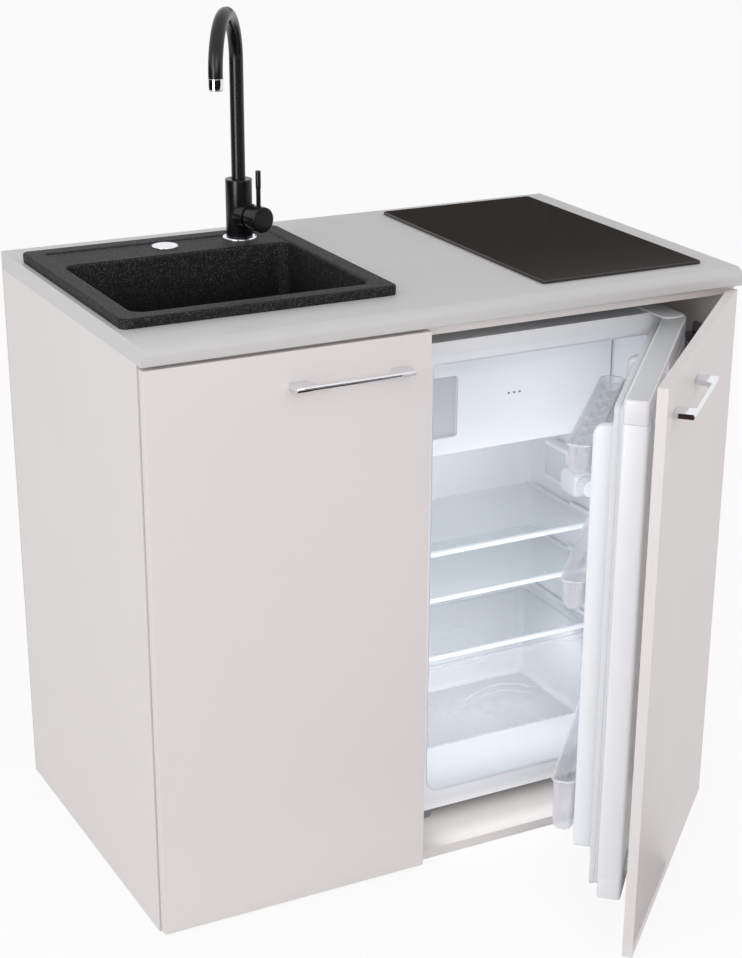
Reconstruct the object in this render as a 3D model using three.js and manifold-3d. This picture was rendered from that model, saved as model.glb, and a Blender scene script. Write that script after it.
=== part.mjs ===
// A kitchenette unit: a two-bay cabinet under a worktop, with a drop-in sink and its tap and
// waste over the left bay, and a glass hob over a built-in refrigerator in the right bay.
// Millimetres, +Z up, the front faces -Y, the origin is on the floor under the worktop's middle.

import * as THREE from "three";
import { mergeVertices } from "three/addons/utils/BufferGeometryUtils.js";
import Module from "manifold-3d";

const wasm = await Module();
wasm.setup();

// Clearances
const seat = 0.3; // between pieces that are fixed to each other but turn with a door
const running = 0.3; // around a shaft, a ball or a slider

// Worktop and cabinet boards
const worktopWidth = 1000;
const worktopDepth = 600;
const worktopTop = 925;
const worktopThickness = 28;
const worktopNoseRadius = 16;
const boardThickness = 16;
const boardSetback = 20.5; // from the worktop's front to the boards' front edges
const sinkBayWidth = 425;
const frontRailDepth = 40;
const rearRailHeight = 80;
const backPanelThickness = 3;
const backPanelInset = 0.5; // from the worktop's back
const serviceHoleWidth = 200;
const serviceHoleHeight = 160;

// Furniture doors
const doorThickness = 16;
const doorStandOff = 2; // between a closed door and the boards' front edges
const doorEndReveal = 2;
const doorTopReveal = 5;
const doorFloorGap = 3;
const doorMeetingGap = 3.2;
const doorAxisInset = 4; // hinge axis, in from the worktop's end
const doorAxisReach = 3; // hinge axis, in front of the worktop's front
const rightDoorOpen = 43.5; // degrees, as it stands

// Bow handles
const handleLength = 188;
const handleHeight = 7.5;
const handleReach = 30;
const handleBar = 5;
const handleFoot = 30;
const handleFromEdge = 41;
const handleFromTop = 49.5;

// Concealed hinges
const hingeFromDoorEnd = 97;
const cupRadius = 17.5;
const cupDepth = 11.5;
const cupFromEdge = 22.5;
const cupFlangeLength = 52;
const cupFlangeWidth = 14;
const cupFlangeThickness = 1.2;
const hingeArmLength = 72;
const hingeArmWidth = 16;
const hingeArmHeight = 20;
const hingeArmShort = 2.5; // from the boards' front edges back to the arm
const hingePlateLength = 40;
const hingePlateWidth = 50;
const hingePlateThickness = 4;

// Sink
const sinkFromEnd = 8;
const sinkFromFront = 93;
const sinkDepth = 431;
const sinkRimHeight = 15;
const sinkCornerRadius = 12;
const sinkRimEdge = 4;
const sinkLip = 10;
const bowlBorderLeft = 30;
const bowlBorderRight = 31;
const bowlBorderFront = 29;
const bowlDepthFrontToBack = 294;
const bowlHeight = 190;
const bowlCornerRadius = 20;
const bowlFloorRadius = 12;
const bowlWall = 8;
const deckInset = 28;
const deckSink = 2;
const deckHoleRadius = 17.5;

// Waste, strainer and trap
const wasteHoleRadius = 45;
const wasteCupRadius = 43.5;
const wasteFlangeRadius = 56;
const wasteFlangeThickness = 2.5;
const wasteCupDepth = 50;
const wasteWall = 2.5;
const strainerRadius = 38;
const strainerWall = 1.5;
const strainerLift = 7; // basket's floor above the cup's floor
const strainerKnobRadius = 8;
const strainerKnobHeight = 8;
const strainerStemRadius = 3;
const pipeRadius = 20;
const pipeWall = 3;
const pipeDrop = 45;
const trapLeg = 95;
const trapBendRadius = 45;
const trapRise = 40;
const trapTurnRadius = 40;

// Tap
const tapFromLeftEdge = 344; // tap axis, from the sink's left edge
const tapFromBackEdge = 57;
const coverFromLeftEdge = 216;
const coverRadius = 21;
const coverHeight = 3;
const coverPlugRadius = 15;
const coverPlugBelow = 7; // below the worktop's top
const baseRingRadius = 27.5;
const baseRingHeight = 4.5;
const tapBodyRadius = 21.25;
const tapBodyHeight = 91.5;
const shankRadius = 14;
const shankBelow = 33; // shank below the deck
const shankNutRadius = 25;
const shankNutHeight = 8;
const spoutRadius = 11;
const spoutBore = 8;
const spoutRise = 184;
const spoutArchRadius = 78;
const spoutDrop = 4;
const spoutHeading = -125; // degrees, from +X
const spigotHeight = 15;
const aeratorRadius = 11.5;
const aeratorHeight = 18;
const mixerHeading = -76; // degrees, from +X
const mixerHeight = 40; // mixer axis above the deck
const mixerCollarRadius = 20.3;
const mixerCollarLength = 30;
const mixerSeatDepth = 12;
const mixerNeckRadius = 15;
const mixerBallRadius = 18.3;
const mixerBallCentre = 34; // from the tap axis
const mixerCapStart = 38;
const mixerCapEnd = 62;
const leverRadius = 4;
const leverTipRadius = 4.2;
const leverLength = 56; // above the cap
const leverPlace = 50; // from the tap axis

// Hob
const hobWidth = 292.5;
const hobFromEnd = 42.5;
const hobFromFront = 51.5;
const hobFromBack = 28.5;
const hobGlassThickness = 5;
const hobSideLip = 11.25; // glass beyond the cut-out at each side
const hobEndLip = 15; // and at the front and back
const hobCasingClearance = 3;
const hobCasingDepth = 42;
const hobCasingWall = 2.5;
const elementHeight = 18;
const elementPostRadius = 12;
const elementEdge = 4;
const frontElementRadius = 90;
const rearElementRadius = 72.5;

// Refrigerator
const fridgeGap = 5; // to the partition
const fridgeHingeSpace = 64; // to the right side panel
const fridgeHeadroom = 32; // under the front rail
const machineSpace = 126.5; // behind the casing, for the compressor
const fridgeBehindBoards = 55.5; // casing front, behind the boards' front edges
const fridgeBaseHeight = 38;
const linerSideWall = 33; // from the casing's outer side to the liner's inner face
const linerBottomWall = 36.5;
const linerTopWall = 37;
const linerRearWall = 50;
const linerSkin = 3;
const linerRadius = 20;
const shelfRibWidth = 8;
const shelfRibHeight = 5;
const shelfSetback = 114; // shelf fronts, behind the casing's front
const shelfRearGap = 10;
const shelfGlass = 4;
const shelfTrimHeight = 9;
const shelfTrimDepth = 10;
const upperShelfDrop = 167; // shelf's top, below the freezer compartment
const shelfSpacing = 82;
const crisperHeight = 160;
const crisperCoverRise = 16.5; // cover's top, above the drawer's rim
const crisperWall = 2.5;
const crisperSideGap = 9;
const freezerHeight = 190;
const freezerWall = 5;
const freezerFrontSetback = 116.5;
const flapThickness = 14;
const flapRise = 5; // flap's lower edge, above the compartment's
const flapSideGap = 2.3;
const flapTopGap = 4;
const flapCornerRadius = 16;
const flapAxisInset = 5; // hinge axis, in from the liner's right wall
const flapBarrelRadius = 3;
const flapGripWidth = 60;
const flapGripHeight = 101;
const flapGripBottom = 29;
const flapGripFromLeft = 37;
const flapGripDepth = 5;
const lampBoxDrop = 62; // below the freezer compartment
const lampBoxHeight = 68;
const lampBoxDepth = 25;
const lampBoxFromBack = 57; // from the liner's rear wall
const lampBoxLength = 91;
const dialBoxDepth = 38;
const dialBoxLength = 57;
const dialBoxHeight = 44;
const dialRadius = 17;
const dialLength = 18;

// Refrigerator door
const fridgeDoorGap = 5.5; // behind the closed furniture door
const fridgeDoorThickness = 37.5;
const fridgeDoorEndGap = 0.5;
const fridgeDoorEdgeRadius = 6;
const fridgePinInset = 13; // pin, in from the hinge end
const fridgePinDepth = 15; // pin, behind the door's outer face
const fridgePinRadius = 4;
const fridgePinLength = 14;
const fridgeDoorRatio = 1.104; // degrees of refrigerator door for each degree of furniture door
const gasketInset = 12;
const gasketWidth = 14;
const gasketDepth = 13.2;
const doorLinerDepth = 7.2;
const dikeDepth = 45.5;
const dikeWidth = 18;
const dikeFromFreeEnd = 40;
const dikeFromHingeEnd = 56;
const dikeFromDoorBottom = 61.5;
const dikeFromDoorTop = 51.5;
const dikeRadius = 17;
const binReach = 84.5; // bin front, from the door's inner skin
const binOverhangFree = 8; // of a tray's end, over the dike
const binOverhangHinge = 11;
const upperBinDrop = 75; // tray's bottom, below the dikes' top
const binSpacing = 220;
const lowerBinRise = 14; // tray's bottom, above the dikes' foot
const upperBinHeight = 38;
const middleBinHeight = 48;
const lowerBinHeight = 89;
const binWall = 2;
const binCornerRadius = 12;
const bracketThickness = 3;
const bracketWidth = 40;
const bracketBite = 60; // bracket length on the casing
const slideThickness = 2.2;
const slideBlockThickness = 2.4;
const slideRailLength = 166;
const slideRailWidth = 24;
const slideBlockLength = 35;
const slideBlockWidth = 18;
const slideFromFreeEnd = 40; // block, from the refrigerator door's free end
const slideRailLead = 6;
const slideFromDoorEnd = 92;
const baseTrayHeight = 14;
const baseInset = 34;
const baseFootRadius = 15;
const compressorRadius = 58;
const compressorHeight = 150;
const compressorShoulder = 15;

// Places that follow from the sizes
const left = -worktopWidth / 2;
const right = worktopWidth / 2;
const front = -worktopDepth / 2;
const back = worktopDepth / 2;
const boardTop = worktopTop - worktopThickness;
const boardFront = front + boardSetback;
const backPanelBack = back - backPanelInset;
const boardBack = backPanelBack - backPanelThickness;
const partitionLeft = left + boardThickness + sinkBayWidth;
const partitionRight = partitionLeft + boardThickness;
const doorBack = boardFront - doorStandOff;
const doorFront = doorBack - doorThickness;
const doorBottom = doorFloorGap;
const doorTop = boardTop - doorTopReveal;
const doorMeeting = (partitionLeft + partitionRight) / 2;

// A size held to a 1/64 mm grid, so that faces which meet are exactly equal.
function onGrid(size) {
  return Math.round(size * 64) / 64;
}

// A span of two places with a margin added at each end.
function grown(span, margin) {
  return [span[0] - margin, span[1] + margin];
}

// A closed mesh as a solid that can be joined and cut.
function toSolid(geometry) {
  const bare = geometry.clone();
  bare.deleteAttribute("normal");
  bare.deleteAttribute("uv");
  const merged = mergeVertices(bare, 1e-4);
  const corners = merged.index.array;
  const kept = [];
  for (let i = 0; i < corners.length; i += 3) {
    const [a, b, c] = corners.subarray(i, i + 3);
    if (a !== b && b !== c && c !== a) kept.push(a, b, c);
  }
  const mesh = new wasm.Mesh({
    numProp: 3,
    vertProperties: merged.attributes.position.array,
    triVerts: new Uint32Array(kept),
  });
  return new wasm.Manifold(mesh);
}

function toGeometry(solid) {
  const mesh = solid.getMesh();
  const geometry = new THREE.BufferGeometry();
  geometry.setAttribute("position", new THREE.BufferAttribute(mesh.vertProperties, 3));
  geometry.setIndex(new THREE.BufferAttribute(mesh.triVerts, 1));
  return geometry;
}

function join(...geometries) {
  return toGeometry(geometries.map(toSolid).reduce((whole, next) => whole.add(next)));
}

function cut(geometry, ...tools) {
  return toGeometry(tools.map(toSolid).reduce((whole, tool) => whole.subtract(tool), toSolid(geometry)));
}

// A box between two corners.
function block(xs, ys, zs) {
  const [x0, x1] = xs.map(onGrid);
  const [y0, y1] = ys.map(onGrid);
  const [z0, z1] = zs.map(onGrid);
  const geometry = new THREE.BoxGeometry(x1 - x0, y1 - y0, z1 - z0);
  return geometry.translate((x0 + x1) / 2, (y0 + y1) / 2, (z0 + z1) / 2);
}

function roundedRectangle(across, along, radius) {
  const [x0, x1] = across.map(onGrid);
  const [y0, y1] = along.map(onGrid);
  const quarter = Math.PI / 2;
  const shape = new THREE.Shape();
  shape.absarc(x1 - radius, y0 + radius, radius, -quarter, 0);
  shape.absarc(x1 - radius, y1 - radius, radius, 0, quarter);
  shape.absarc(x0 + radius, y1 - radius, radius, quarter, 2 * quarter);
  shape.absarc(x0 + radius, y0 + radius, radius, 2 * quarter, 3 * quarter);
  shape.closePath();
  return shape;
}

// A plan outline raised from z0 to z1, with its top and bottom edges rounded.
function raise(shape, zs, edgeRadius = 0, curveSegments = 3) {
  const [z0, z1] = zs.map(onGrid);
  const geometry = new THREE.ExtrudeGeometry(shape, {
    depth: z1 - z0 - 2 * edgeRadius,
    bevelEnabled: edgeRadius > 0,
    bevelSize: edgeRadius,
    bevelThickness: edgeRadius,
    bevelOffset: -edgeRadius,
    bevelSegments: 2,
    curveSegments,
  });
  return geometry.translate(0, 0, z0 + edgeRadius);
}

// An open tub with rounded upright corners and a rounded floor edge.
function tub(xs, ys, [bottom, rim], wall, corner, floorEdge) {
  const above = block(grown(xs, 1), grown(ys, 1), [rim, rim + 3 * floorEdge]);
  return cut(
    raise(roundedRectangle(xs, ys, corner), [bottom, rim + 2 * floorEdge], floorEdge),
    above,
    raise(
      roundedRectangle(grown(xs, -wall), grown(ys, -wall), corner - wall),
      [bottom + wall, rim + 4 * floorEdge],
      floorEdge - wall,
    ),
  );
}

// An outline drawn in Y and Z, drawn out along X.
function drawAcross(shape, xs, curveSegments = 4) {
  const [x0, x1] = xs.map(onGrid);
  const geometry = new THREE.ExtrudeGeometry(shape, { depth: x1 - x0, bevelEnabled: false, curveSegments });
  const turn = new THREE.Matrix4().makeBasis(
    new THREE.Vector3(0, 1, 0),
    new THREE.Vector3(0, 0, 1),
    new THREE.Vector3(1, 0, 0),
  );
  return geometry.applyMatrix4(turn).translate(x0, 0, 0);
}

// An outline drawn in X and Z, drawn out along Y.
function drawBack(shape, ys, curveSegments = 4) {
  const [y0, y1] = ys.map(onGrid);
  const geometry = new THREE.ExtrudeGeometry(shape, { depth: y1 - y0, bevelEnabled: false, curveSegments });
  const turn = new THREE.Matrix4().makeBasis(
    new THREE.Vector3(1, 0, 0),
    new THREE.Vector3(0, 0, 1),
    new THREE.Vector3(0, -1, 0),
  );
  return geometry.applyMatrix4(turn).translate(0, y1, 0);
}

// A profile of [radius, height] points, anticlockwise, turned about the vertical line at x, y.
function turned(profile, x, y, segments = 24) {
  const closed = profile[0][0] > 0 ? [...profile, profile[0]] : profile;
  const points = closed.map(([radius, height]) => new THREE.Vector2(radius, height));
  return new THREE.LatheGeometry(points, segments).rotateX(Math.PI / 2).translate(x, y, 0);
}

function rod(radius, x, y, zs, segments = 24) {
  const [z0, z1] = zs.map(onGrid);
  return turned([[0, z0], [radius, z0], [radius, z1], [0, z1]], x, y, segments);
}

// Points on a circle's arc, for a profile.
function arc(centreR, centreZ, radius, fromDegrees, toDegrees, steps) {
  return Array.from({ length: steps + 1 }, (_, i) => {
    const angle = THREE.MathUtils.degToRad(fromDegrees + ((toDegrees - fromDegrees) * i) / steps);
    return [centreR + radius * Math.cos(angle), centreZ + radius * Math.sin(angle)];
  });
}

// A pipe along a curve.
function pipe(curve, radius, bore, steps, halfSides) {
  const section = new THREE.Shape();
  section.absarc(0, 0, radius, 0, 2 * Math.PI);
  const hole = new THREE.Path();
  hole.absarc(0, 0, bore, 0, 2 * Math.PI);
  section.holes.push(hole);
  return new THREE.ExtrudeGeometry(section, { extrudePath: curve, steps, curveSegments: halfSides });
}

// A circular bend in a vertical plane: start and end angles in degrees, from the heading to +Z.
class Bend extends THREE.Curve {
  constructor(centre, heading, radius, fromDegrees, toDegrees) {
    super();
    this.centre = centre;
    this.heading = heading;
    this.radius = radius;
    this.from = fromDegrees;
    this.to = toDegrees;
  }

  getPoint(t, target = new THREE.Vector3()) {
    const angle = THREE.MathUtils.degToRad(this.from + (this.to - this.from) * t);
    target.copy(this.centre);
    target.addScaledVector(this.heading, this.radius * Math.cos(angle));
    target.z += this.radius * Math.sin(angle);
    return target;
  }
}

function headingVector(degrees) {
  const angle = THREE.MathUtils.degToRad(degrees);
  return new THREE.Vector3(Math.cos(angle), Math.sin(angle), 0);
}

function finish(color, roughness, metalness = 0) {
  return new THREE.MeshStandardMaterial({ color, roughness, metalness, flatShading: true });
}

const finishes = {
  board: finish(0xdcd6d3, 0.55),
  worktop: finish(0xc4c2be, 0.5),
  granite: finish(0x3c3b3f, 0.7),
  black: finish(0x19191b, 0.45),
  chrome: finish(0xd8d8da, 0.12, 1),
  steel: finish(0xb4b4b6, 0.3, 1),
  glass: finish(0x302c28, 0.08),
  enamel: finish(0xeef0f2, 0.35),
  plastic: finish(0xf2f4f6, 0.4),
  clear: finish(0xe6eef4, 0.1),
  seal: finish(0xe0e2e4, 0.8),
  pipe: finish(0xd0d0ce, 0.5),
  heater: finish(0x8a8580, 0.9),
  painted: finish(0x202224, 0.5),
};

const group = new THREE.Group();

function piece(name, geometry, material, parent = group) {
  const mesh = new THREE.Mesh(geometry, material);
  mesh.name = name;
  parent.add(mesh);
  return mesh;
}

// ---- Cabinet boards -------------------------------------------------------------------------

const innerLeft = left + boardThickness;
const innerRight = right - boardThickness;
const boardDepth = [boardFront, boardBack];
const railBottom = boardTop - boardThickness;
const frontRail = block([innerLeft, innerRight], [boardFront, boardFront + frontRailDepth], [railBottom, boardTop]);
const rearRail = block(
  [innerLeft, innerRight],
  [boardBack - boardThickness, boardBack],
  [boardTop - rearRailHeight, boardTop],
);

piece("left_side_panel", block([left, innerLeft], boardDepth, [0, boardTop]), finishes.board);
piece("right_side_panel", block([innerRight, right], boardDepth, [0, boardTop]), finishes.board);
piece("bottom_panel", block([innerLeft, innerRight], boardDepth, [0, boardThickness]), finishes.board);
piece("front_rail", frontRail, finishes.board);
piece("rear_rail", rearRail, finishes.board);
const partitionBlank = block([partitionLeft, partitionRight], boardDepth, [boardThickness, boardTop]);
piece("centre_partition", cut(partitionBlank, frontRail, rearRail), finishes.board);

const sinkLeft = left + sinkFromEnd;
const sinkFront = front + sinkFromFront;
const sinkRight = partitionLeft;
const sinkBack = sinkFront + sinkDepth;
const sinkTop = worktopTop + sinkRimHeight;
const bowlX = [sinkLeft + bowlBorderLeft, sinkRight - bowlBorderRight];
const bowlY = [sinkFront + bowlBorderFront, sinkFront + bowlBorderFront + bowlDepthFrontToBack];
const bowlFloor = sinkTop - bowlHeight;
const wasteX = (bowlX[0] + bowlX[1]) / 2;
const wasteY = (bowlY[0] + bowlY[1]) / 2;
const wasteOutletBottom = bowlFloor - wasteCupDepth - pipeDrop;
const trapOutletZ = wasteOutletBottom - trapLeg + trapRise + trapTurnRadius;

const serviceX = [wasteX - serviceHoleWidth / 2, wasteX + serviceHoleWidth / 2];
const serviceZ = [trapOutletZ - serviceHoleHeight / 2, trapOutletZ + serviceHoleHeight / 2];
piece(
  "back_panel",
  cut(
    block([left, partitionRight], [boardBack, backPanelBack], [0, boardTop]),
    block(serviceX, [boardBack - 1, backPanelBack + 1], serviceZ),
  ),
  finishes.board,
);

// ---- Worktop --------------------------------------------------------------------------------

const worktopProfile = new THREE.Shape();
worktopProfile.moveTo(front, boardTop);
worktopProfile.lineTo(back, boardTop);
worktopProfile.lineTo(back, worktopTop);
worktopProfile.lineTo(front + worktopNoseRadius, worktopTop);
worktopProfile.absarc(
  front + worktopNoseRadius,
  worktopTop - worktopNoseRadius,
  worktopNoseRadius,
  Math.PI / 2,
  Math.PI,
);
worktopProfile.closePath();

const hobX = [right - hobFromEnd - hobWidth, right - hobFromEnd];
const hobY = [front + hobFromFront, back - hobFromBack];
const hobCutoutX = grown(hobX, -hobSideLip);
const hobCutoutY = grown(hobY, -hobEndLip);
const throughWorktop = [boardTop - 1, worktopTop + 1];
const sinkCutout = roundedRectangle(
  [sinkLeft + sinkLip, sinkRight - sinkLip],
  [sinkFront + sinkLip, sinkBack - sinkLip],
  sinkCornerRadius,
);
const hobCutout = roundedRectangle(hobCutoutX, hobCutoutY, 3);
piece(
  "worktop",
  cut(
    drawAcross(worktopProfile, [left, right], 6),
    raise(sinkCutout, throughWorktop),
    raise(hobCutout, throughWorktop),
  ),
  finishes.worktop,
);

// ---- Sink -----------------------------------------------------------------------------------

const tapX = sinkLeft + tapFromLeftEdge;
const tapY = sinkBack - tapFromBackEdge;
const coverX = sinkLeft + coverFromLeftEdge;
const deckTop = sinkTop - deckSink;

function makeSink() {
  const rim = raise(
    roundedRectangle([sinkLeft, sinkRight], [sinkFront, sinkBack], sinkCornerRadius),
    [worktopTop - sinkRimEdge, sinkTop],
    sinkRimEdge,
    4,
  );
  const belowRim = block(
    [sinkLeft - 1, sinkRight + 1],
    [sinkFront - 1, sinkBack + 1],
    [worktopTop - 2 * sinkRimEdge, worktopTop],
  );
  const shell = raise(
    roundedRectangle(
      [bowlX[0] - bowlWall, bowlX[1] + bowlWall],
      [bowlY[0] - bowlWall, bowlY[1] + bowlWall],
      bowlCornerRadius + bowlWall,
    ),
    [bowlFloor - bowlWall, worktopTop + bowlWall],
  );
  const hollow = raise(
    roundedRectangle(bowlX, bowlY, bowlCornerRadius),
    [bowlFloor, sinkTop + 2 * bowlFloorRadius],
    bowlFloorRadius,
    4,
  );
  const deck = raise(
    roundedRectangle(
      [sinkLeft + deckInset, sinkRight - deckInset],
      [bowlY[1] + bowlWall, sinkBack - deckInset],
      bowlWall,
    ),
    [deckTop, sinkTop + 1],
  );
  const holeSpan = [worktopTop - 1, sinkTop + 1];
  return cut(
    join(cut(rim, belowRim), shell),
    hollow,
    deck,
    rod(wasteHoleRadius, wasteX, wasteY, [bowlFloor - bowlWall - 1, bowlFloor + 1]),
    rod(deckHoleRadius, tapX, tapY, holeSpan),
    rod(deckHoleRadius, coverX, tapY, holeSpan),
  );
}

piece("sink", makeSink(), finishes.granite);
piece(
  "tap_hole_cover",
  turned(
    [
      [0, worktopTop - coverPlugBelow],
      [coverPlugRadius, worktopTop - coverPlugBelow],
      [coverPlugRadius, deckTop],
      [coverRadius, deckTop],
      [coverRadius, deckTop + coverHeight - 1],
      [coverRadius - 1, deckTop + coverHeight],
      [0, deckTop + coverHeight],
    ],
    coverX,
    tapY,
  ),
  finishes.chrome,
);

// ---- Waste, strainer and trap ---------------------------------------------------------------

const cupFloor = bowlFloor - wasteCupDepth;
const flangeTop = bowlFloor + wasteFlangeThickness;
piece(
  "sink_waste",
  turned(
    [
      [pipeRadius - pipeWall, wasteOutletBottom],
      [pipeRadius, wasteOutletBottom],
      [pipeRadius, cupFloor],
      [wasteCupRadius, cupFloor],
      [wasteCupRadius, bowlFloor],
      [wasteFlangeRadius, bowlFloor],
      [wasteFlangeRadius, flangeTop],
      [wasteCupRadius - wasteWall, flangeTop],
      [wasteCupRadius - wasteWall, cupFloor + wasteWall],
      [pipeRadius - pipeWall, cupFloor + wasteWall],
    ],
    wasteX,
    wasteY,
  ),
  finishes.steel,
);

const strainerFloor = cupFloor + strainerLift;
const strainerInner = strainerRadius - strainerWall;
const strainerFlange = strainerRadius + 8;
piece(
  "waste_basket",
  turned(
    [
      [0, strainerFloor],
      [strainerRadius - 2, strainerFloor],
      [strainerRadius, strainerFloor + 5],
      [strainerRadius, flangeTop],
      [strainerFlange, flangeTop],
      [strainerFlange, flangeTop + strainerWall],
      [strainerInner, flangeTop + strainerWall],
      [strainerInner, strainerFloor + 6],
      [strainerInner - 2, strainerFloor + strainerWall],
      [strainerStemRadius, strainerFloor + strainerWall],
      [strainerStemRadius, bowlFloor - strainerKnobHeight],
      [strainerKnobRadius, bowlFloor - strainerKnobHeight + 2],
      [strainerKnobRadius, bowlFloor - 2],
      [0, bowlFloor],
    ],
    wasteX,
    wasteY,
  ),
  finishes.steel,
);

function makeTrap() {
  const rearward = new THREE.Vector3(0, 1, 0);
  const legBottom = wasteOutletBottom - trapLeg;
  const at = (y, z) => new THREE.Vector3(wasteX, y, z);
  const riseY = wasteY + 2 * trapBendRadius;
  const route = new THREE.CurvePath();
  route.add(new THREE.LineCurve3(at(wasteY, wasteOutletBottom), at(wasteY, legBottom)));
  route.add(new Bend(at(wasteY + trapBendRadius, legBottom), rearward, trapBendRadius, 180, 360));
  route.add(new THREE.LineCurve3(at(riseY, legBottom), at(riseY, legBottom + trapRise)));
  route.add(new Bend(at(riseY + trapTurnRadius, legBottom + trapRise), rearward, trapTurnRadius, 180, 90));
  route.add(new THREE.LineCurve3(at(riseY + trapTurnRadius, trapOutletZ), at(boardBack, trapOutletZ)));
  const nutWall = 7;
  const nutHeight = 27;
  const nut = turned(
    [
      [pipeRadius - pipeWall / 2, wasteOutletBottom - nutHeight / 2],
      [pipeRadius + nutWall, wasteOutletBottom - nutHeight / 2],
      [pipeRadius + nutWall, wasteOutletBottom + nutHeight / 2],
      [pipeRadius + running, wasteOutletBottom + nutHeight / 2],
      [pipeRadius + running, wasteOutletBottom - nutHeight / 4],
      [pipeRadius - pipeWall / 2, wasteOutletBottom - nutHeight / 4],
    ],
    wasteX,
    wasteY,
  );
  return join(pipe(route, pipeRadius, pipeRadius - pipeWall, 24, 5), nut);
}

piece("trap", makeTrap(), finishes.pipe);

// ---- Tap ------------------------------------------------------------------------------------

const tapBodyBottom = deckTop + baseRingHeight;
const tapBodyTop = tapBodyBottom + tapBodyHeight;
const mixerZ = deckTop + mixerHeight;

piece(
  "tap_base_ring",
  turned(
    [
      [shankRadius + running, deckTop],
      [baseRingRadius, deckTop],
      [baseRingRadius, deckTop + baseRingHeight / 2],
      [baseRingRadius - 2, tapBodyBottom],
      [shankRadius + running, tapBodyBottom],
    ],
    tapX,
    tapY,
  ),
  finishes.chrome,
);
piece(
  "tap_shank_nut",
  cut(
    rod(shankNutRadius, tapX, tapY, [worktopTop - shankNutHeight, worktopTop], 6),
    rod(shankRadius + running, tapX, tapY, [worktopTop - shankNutHeight - 1, worktopTop + 1]),
  ),
  finishes.steel,
);

// A piece turned about the mixer's axis: heights in the profile run outwards from the tap's axis.
function alongMixer(profile, segments = 28) {
  return turned(profile, 0, 0, segments).rotateY(Math.PI / 2);
}

const mixerGroup = new THREE.Group();
mixerGroup.position.set(tapX, tapY, mixerZ);
mixerGroup.rotation.z = THREE.MathUtils.degToRad(mixerHeading);
group.add(mixerGroup);

function makeTapBody() {
  const spigotRadius = spoutBore - 2 * running;
  const stem = turned(
    [
      [0, deckTop - shankBelow],
      [shankRadius, deckTop - shankBelow],
      [shankRadius, tapBodyBottom],
      [tapBodyRadius, tapBodyBottom],
      [tapBodyRadius, tapBodyTop - 1],
      [tapBodyRadius - 1, tapBodyTop],
      [spigotRadius, tapBodyTop],
      [spigotRadius, tapBodyTop + spigotHeight],
      [0, tapBodyTop + spigotHeight],
    ],
    tapX,
    tapY,
  );
  const seatStart = mixerCollarLength - mixerSeatDepth;
  const placed = (geometry) =>
    geometry.rotateZ(THREE.MathUtils.degToRad(mixerHeading)).translate(tapX, tapY, mixerZ);
  const collar = placed(
    alongMixer([[0, 0], [mixerCollarRadius, 0], [mixerCollarRadius, mixerCollarLength], [0, mixerCollarLength]]),
  );
  const seatBore = placed(
    alongMixer([
      [0, seatStart],
      [mixerNeckRadius + running, seatStart],
      [mixerNeckRadius + running, mixerCollarLength + 1],
      [0, mixerCollarLength + 1],
    ]),
  );
  return cut(join(stem, collar), seatBore);
}

piece("tap_body", makeTapBody(), finishes.black);

const spoutDirection = headingVector(spoutHeading);

function makeSpout() {
  const archZ = tapBodyTop + spoutRise;
  const axis = new THREE.Vector3(tapX, tapY, 0);
  const at = (reach, z) => axis.clone().addScaledVector(spoutDirection, reach).setZ(z);
  const route = new THREE.CurvePath();
  route.add(new THREE.LineCurve3(at(0, tapBodyTop), at(0, archZ)));
  route.add(new Bend(at(spoutArchRadius, archZ), spoutDirection, spoutArchRadius, 180, 0));
  route.add(new THREE.LineCurve3(at(2 * spoutArchRadius, archZ), at(2 * spoutArchRadius, archZ - spoutDrop)));
  return pipe(route, spoutRadius, spoutBore, 26, 6);
}

const spoutEndZ = tapBodyTop + spoutRise - spoutDrop;
const aeratorX = tapX + 2 * spoutArchRadius * spoutDirection.x;
const aeratorY = tapY + 2 * spoutArchRadius * spoutDirection.y;
piece("tap_spout", makeSpout(), finishes.black);
piece(
  "tap_aerator",
  turned(
    [
      [aeratorRadius - 2.5, spoutEndZ - aeratorHeight],
      [aeratorRadius - 1, spoutEndZ - aeratorHeight],
      [aeratorRadius, spoutEndZ - aeratorHeight + 1.5],
      [aeratorRadius, spoutEndZ - running / 3],
      [0, spoutEndZ - running / 3],
      [0, spoutEndZ - aeratorHeight / 2],
      [aeratorRadius - 2.5, spoutEndZ - aeratorHeight / 2],
    ],
    aeratorX,
    aeratorY,
    24,
  ),
  finishes.chrome,
);

function makeMixerBall() {
  const start = mixerCollarLength - mixerSeatDepth + running;
  const face = mixerCollarLength + running;
  const offset = face - mixerBallCentre;
  const fromAngle = THREE.MathUtils.radToDeg(Math.asin(offset / mixerBallRadius));
  const dome = arc(0, mixerBallCentre, mixerBallRadius, fromAngle, 90, 9);
  dome[dome.length - 1][0] = 0;
  return alongMixer([[0, start], [mixerNeckRadius, start], [mixerNeckRadius, face], ...dome]);
}

piece("mixer_ball", makeMixerBall(), finishes.black, mixerGroup);

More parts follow.
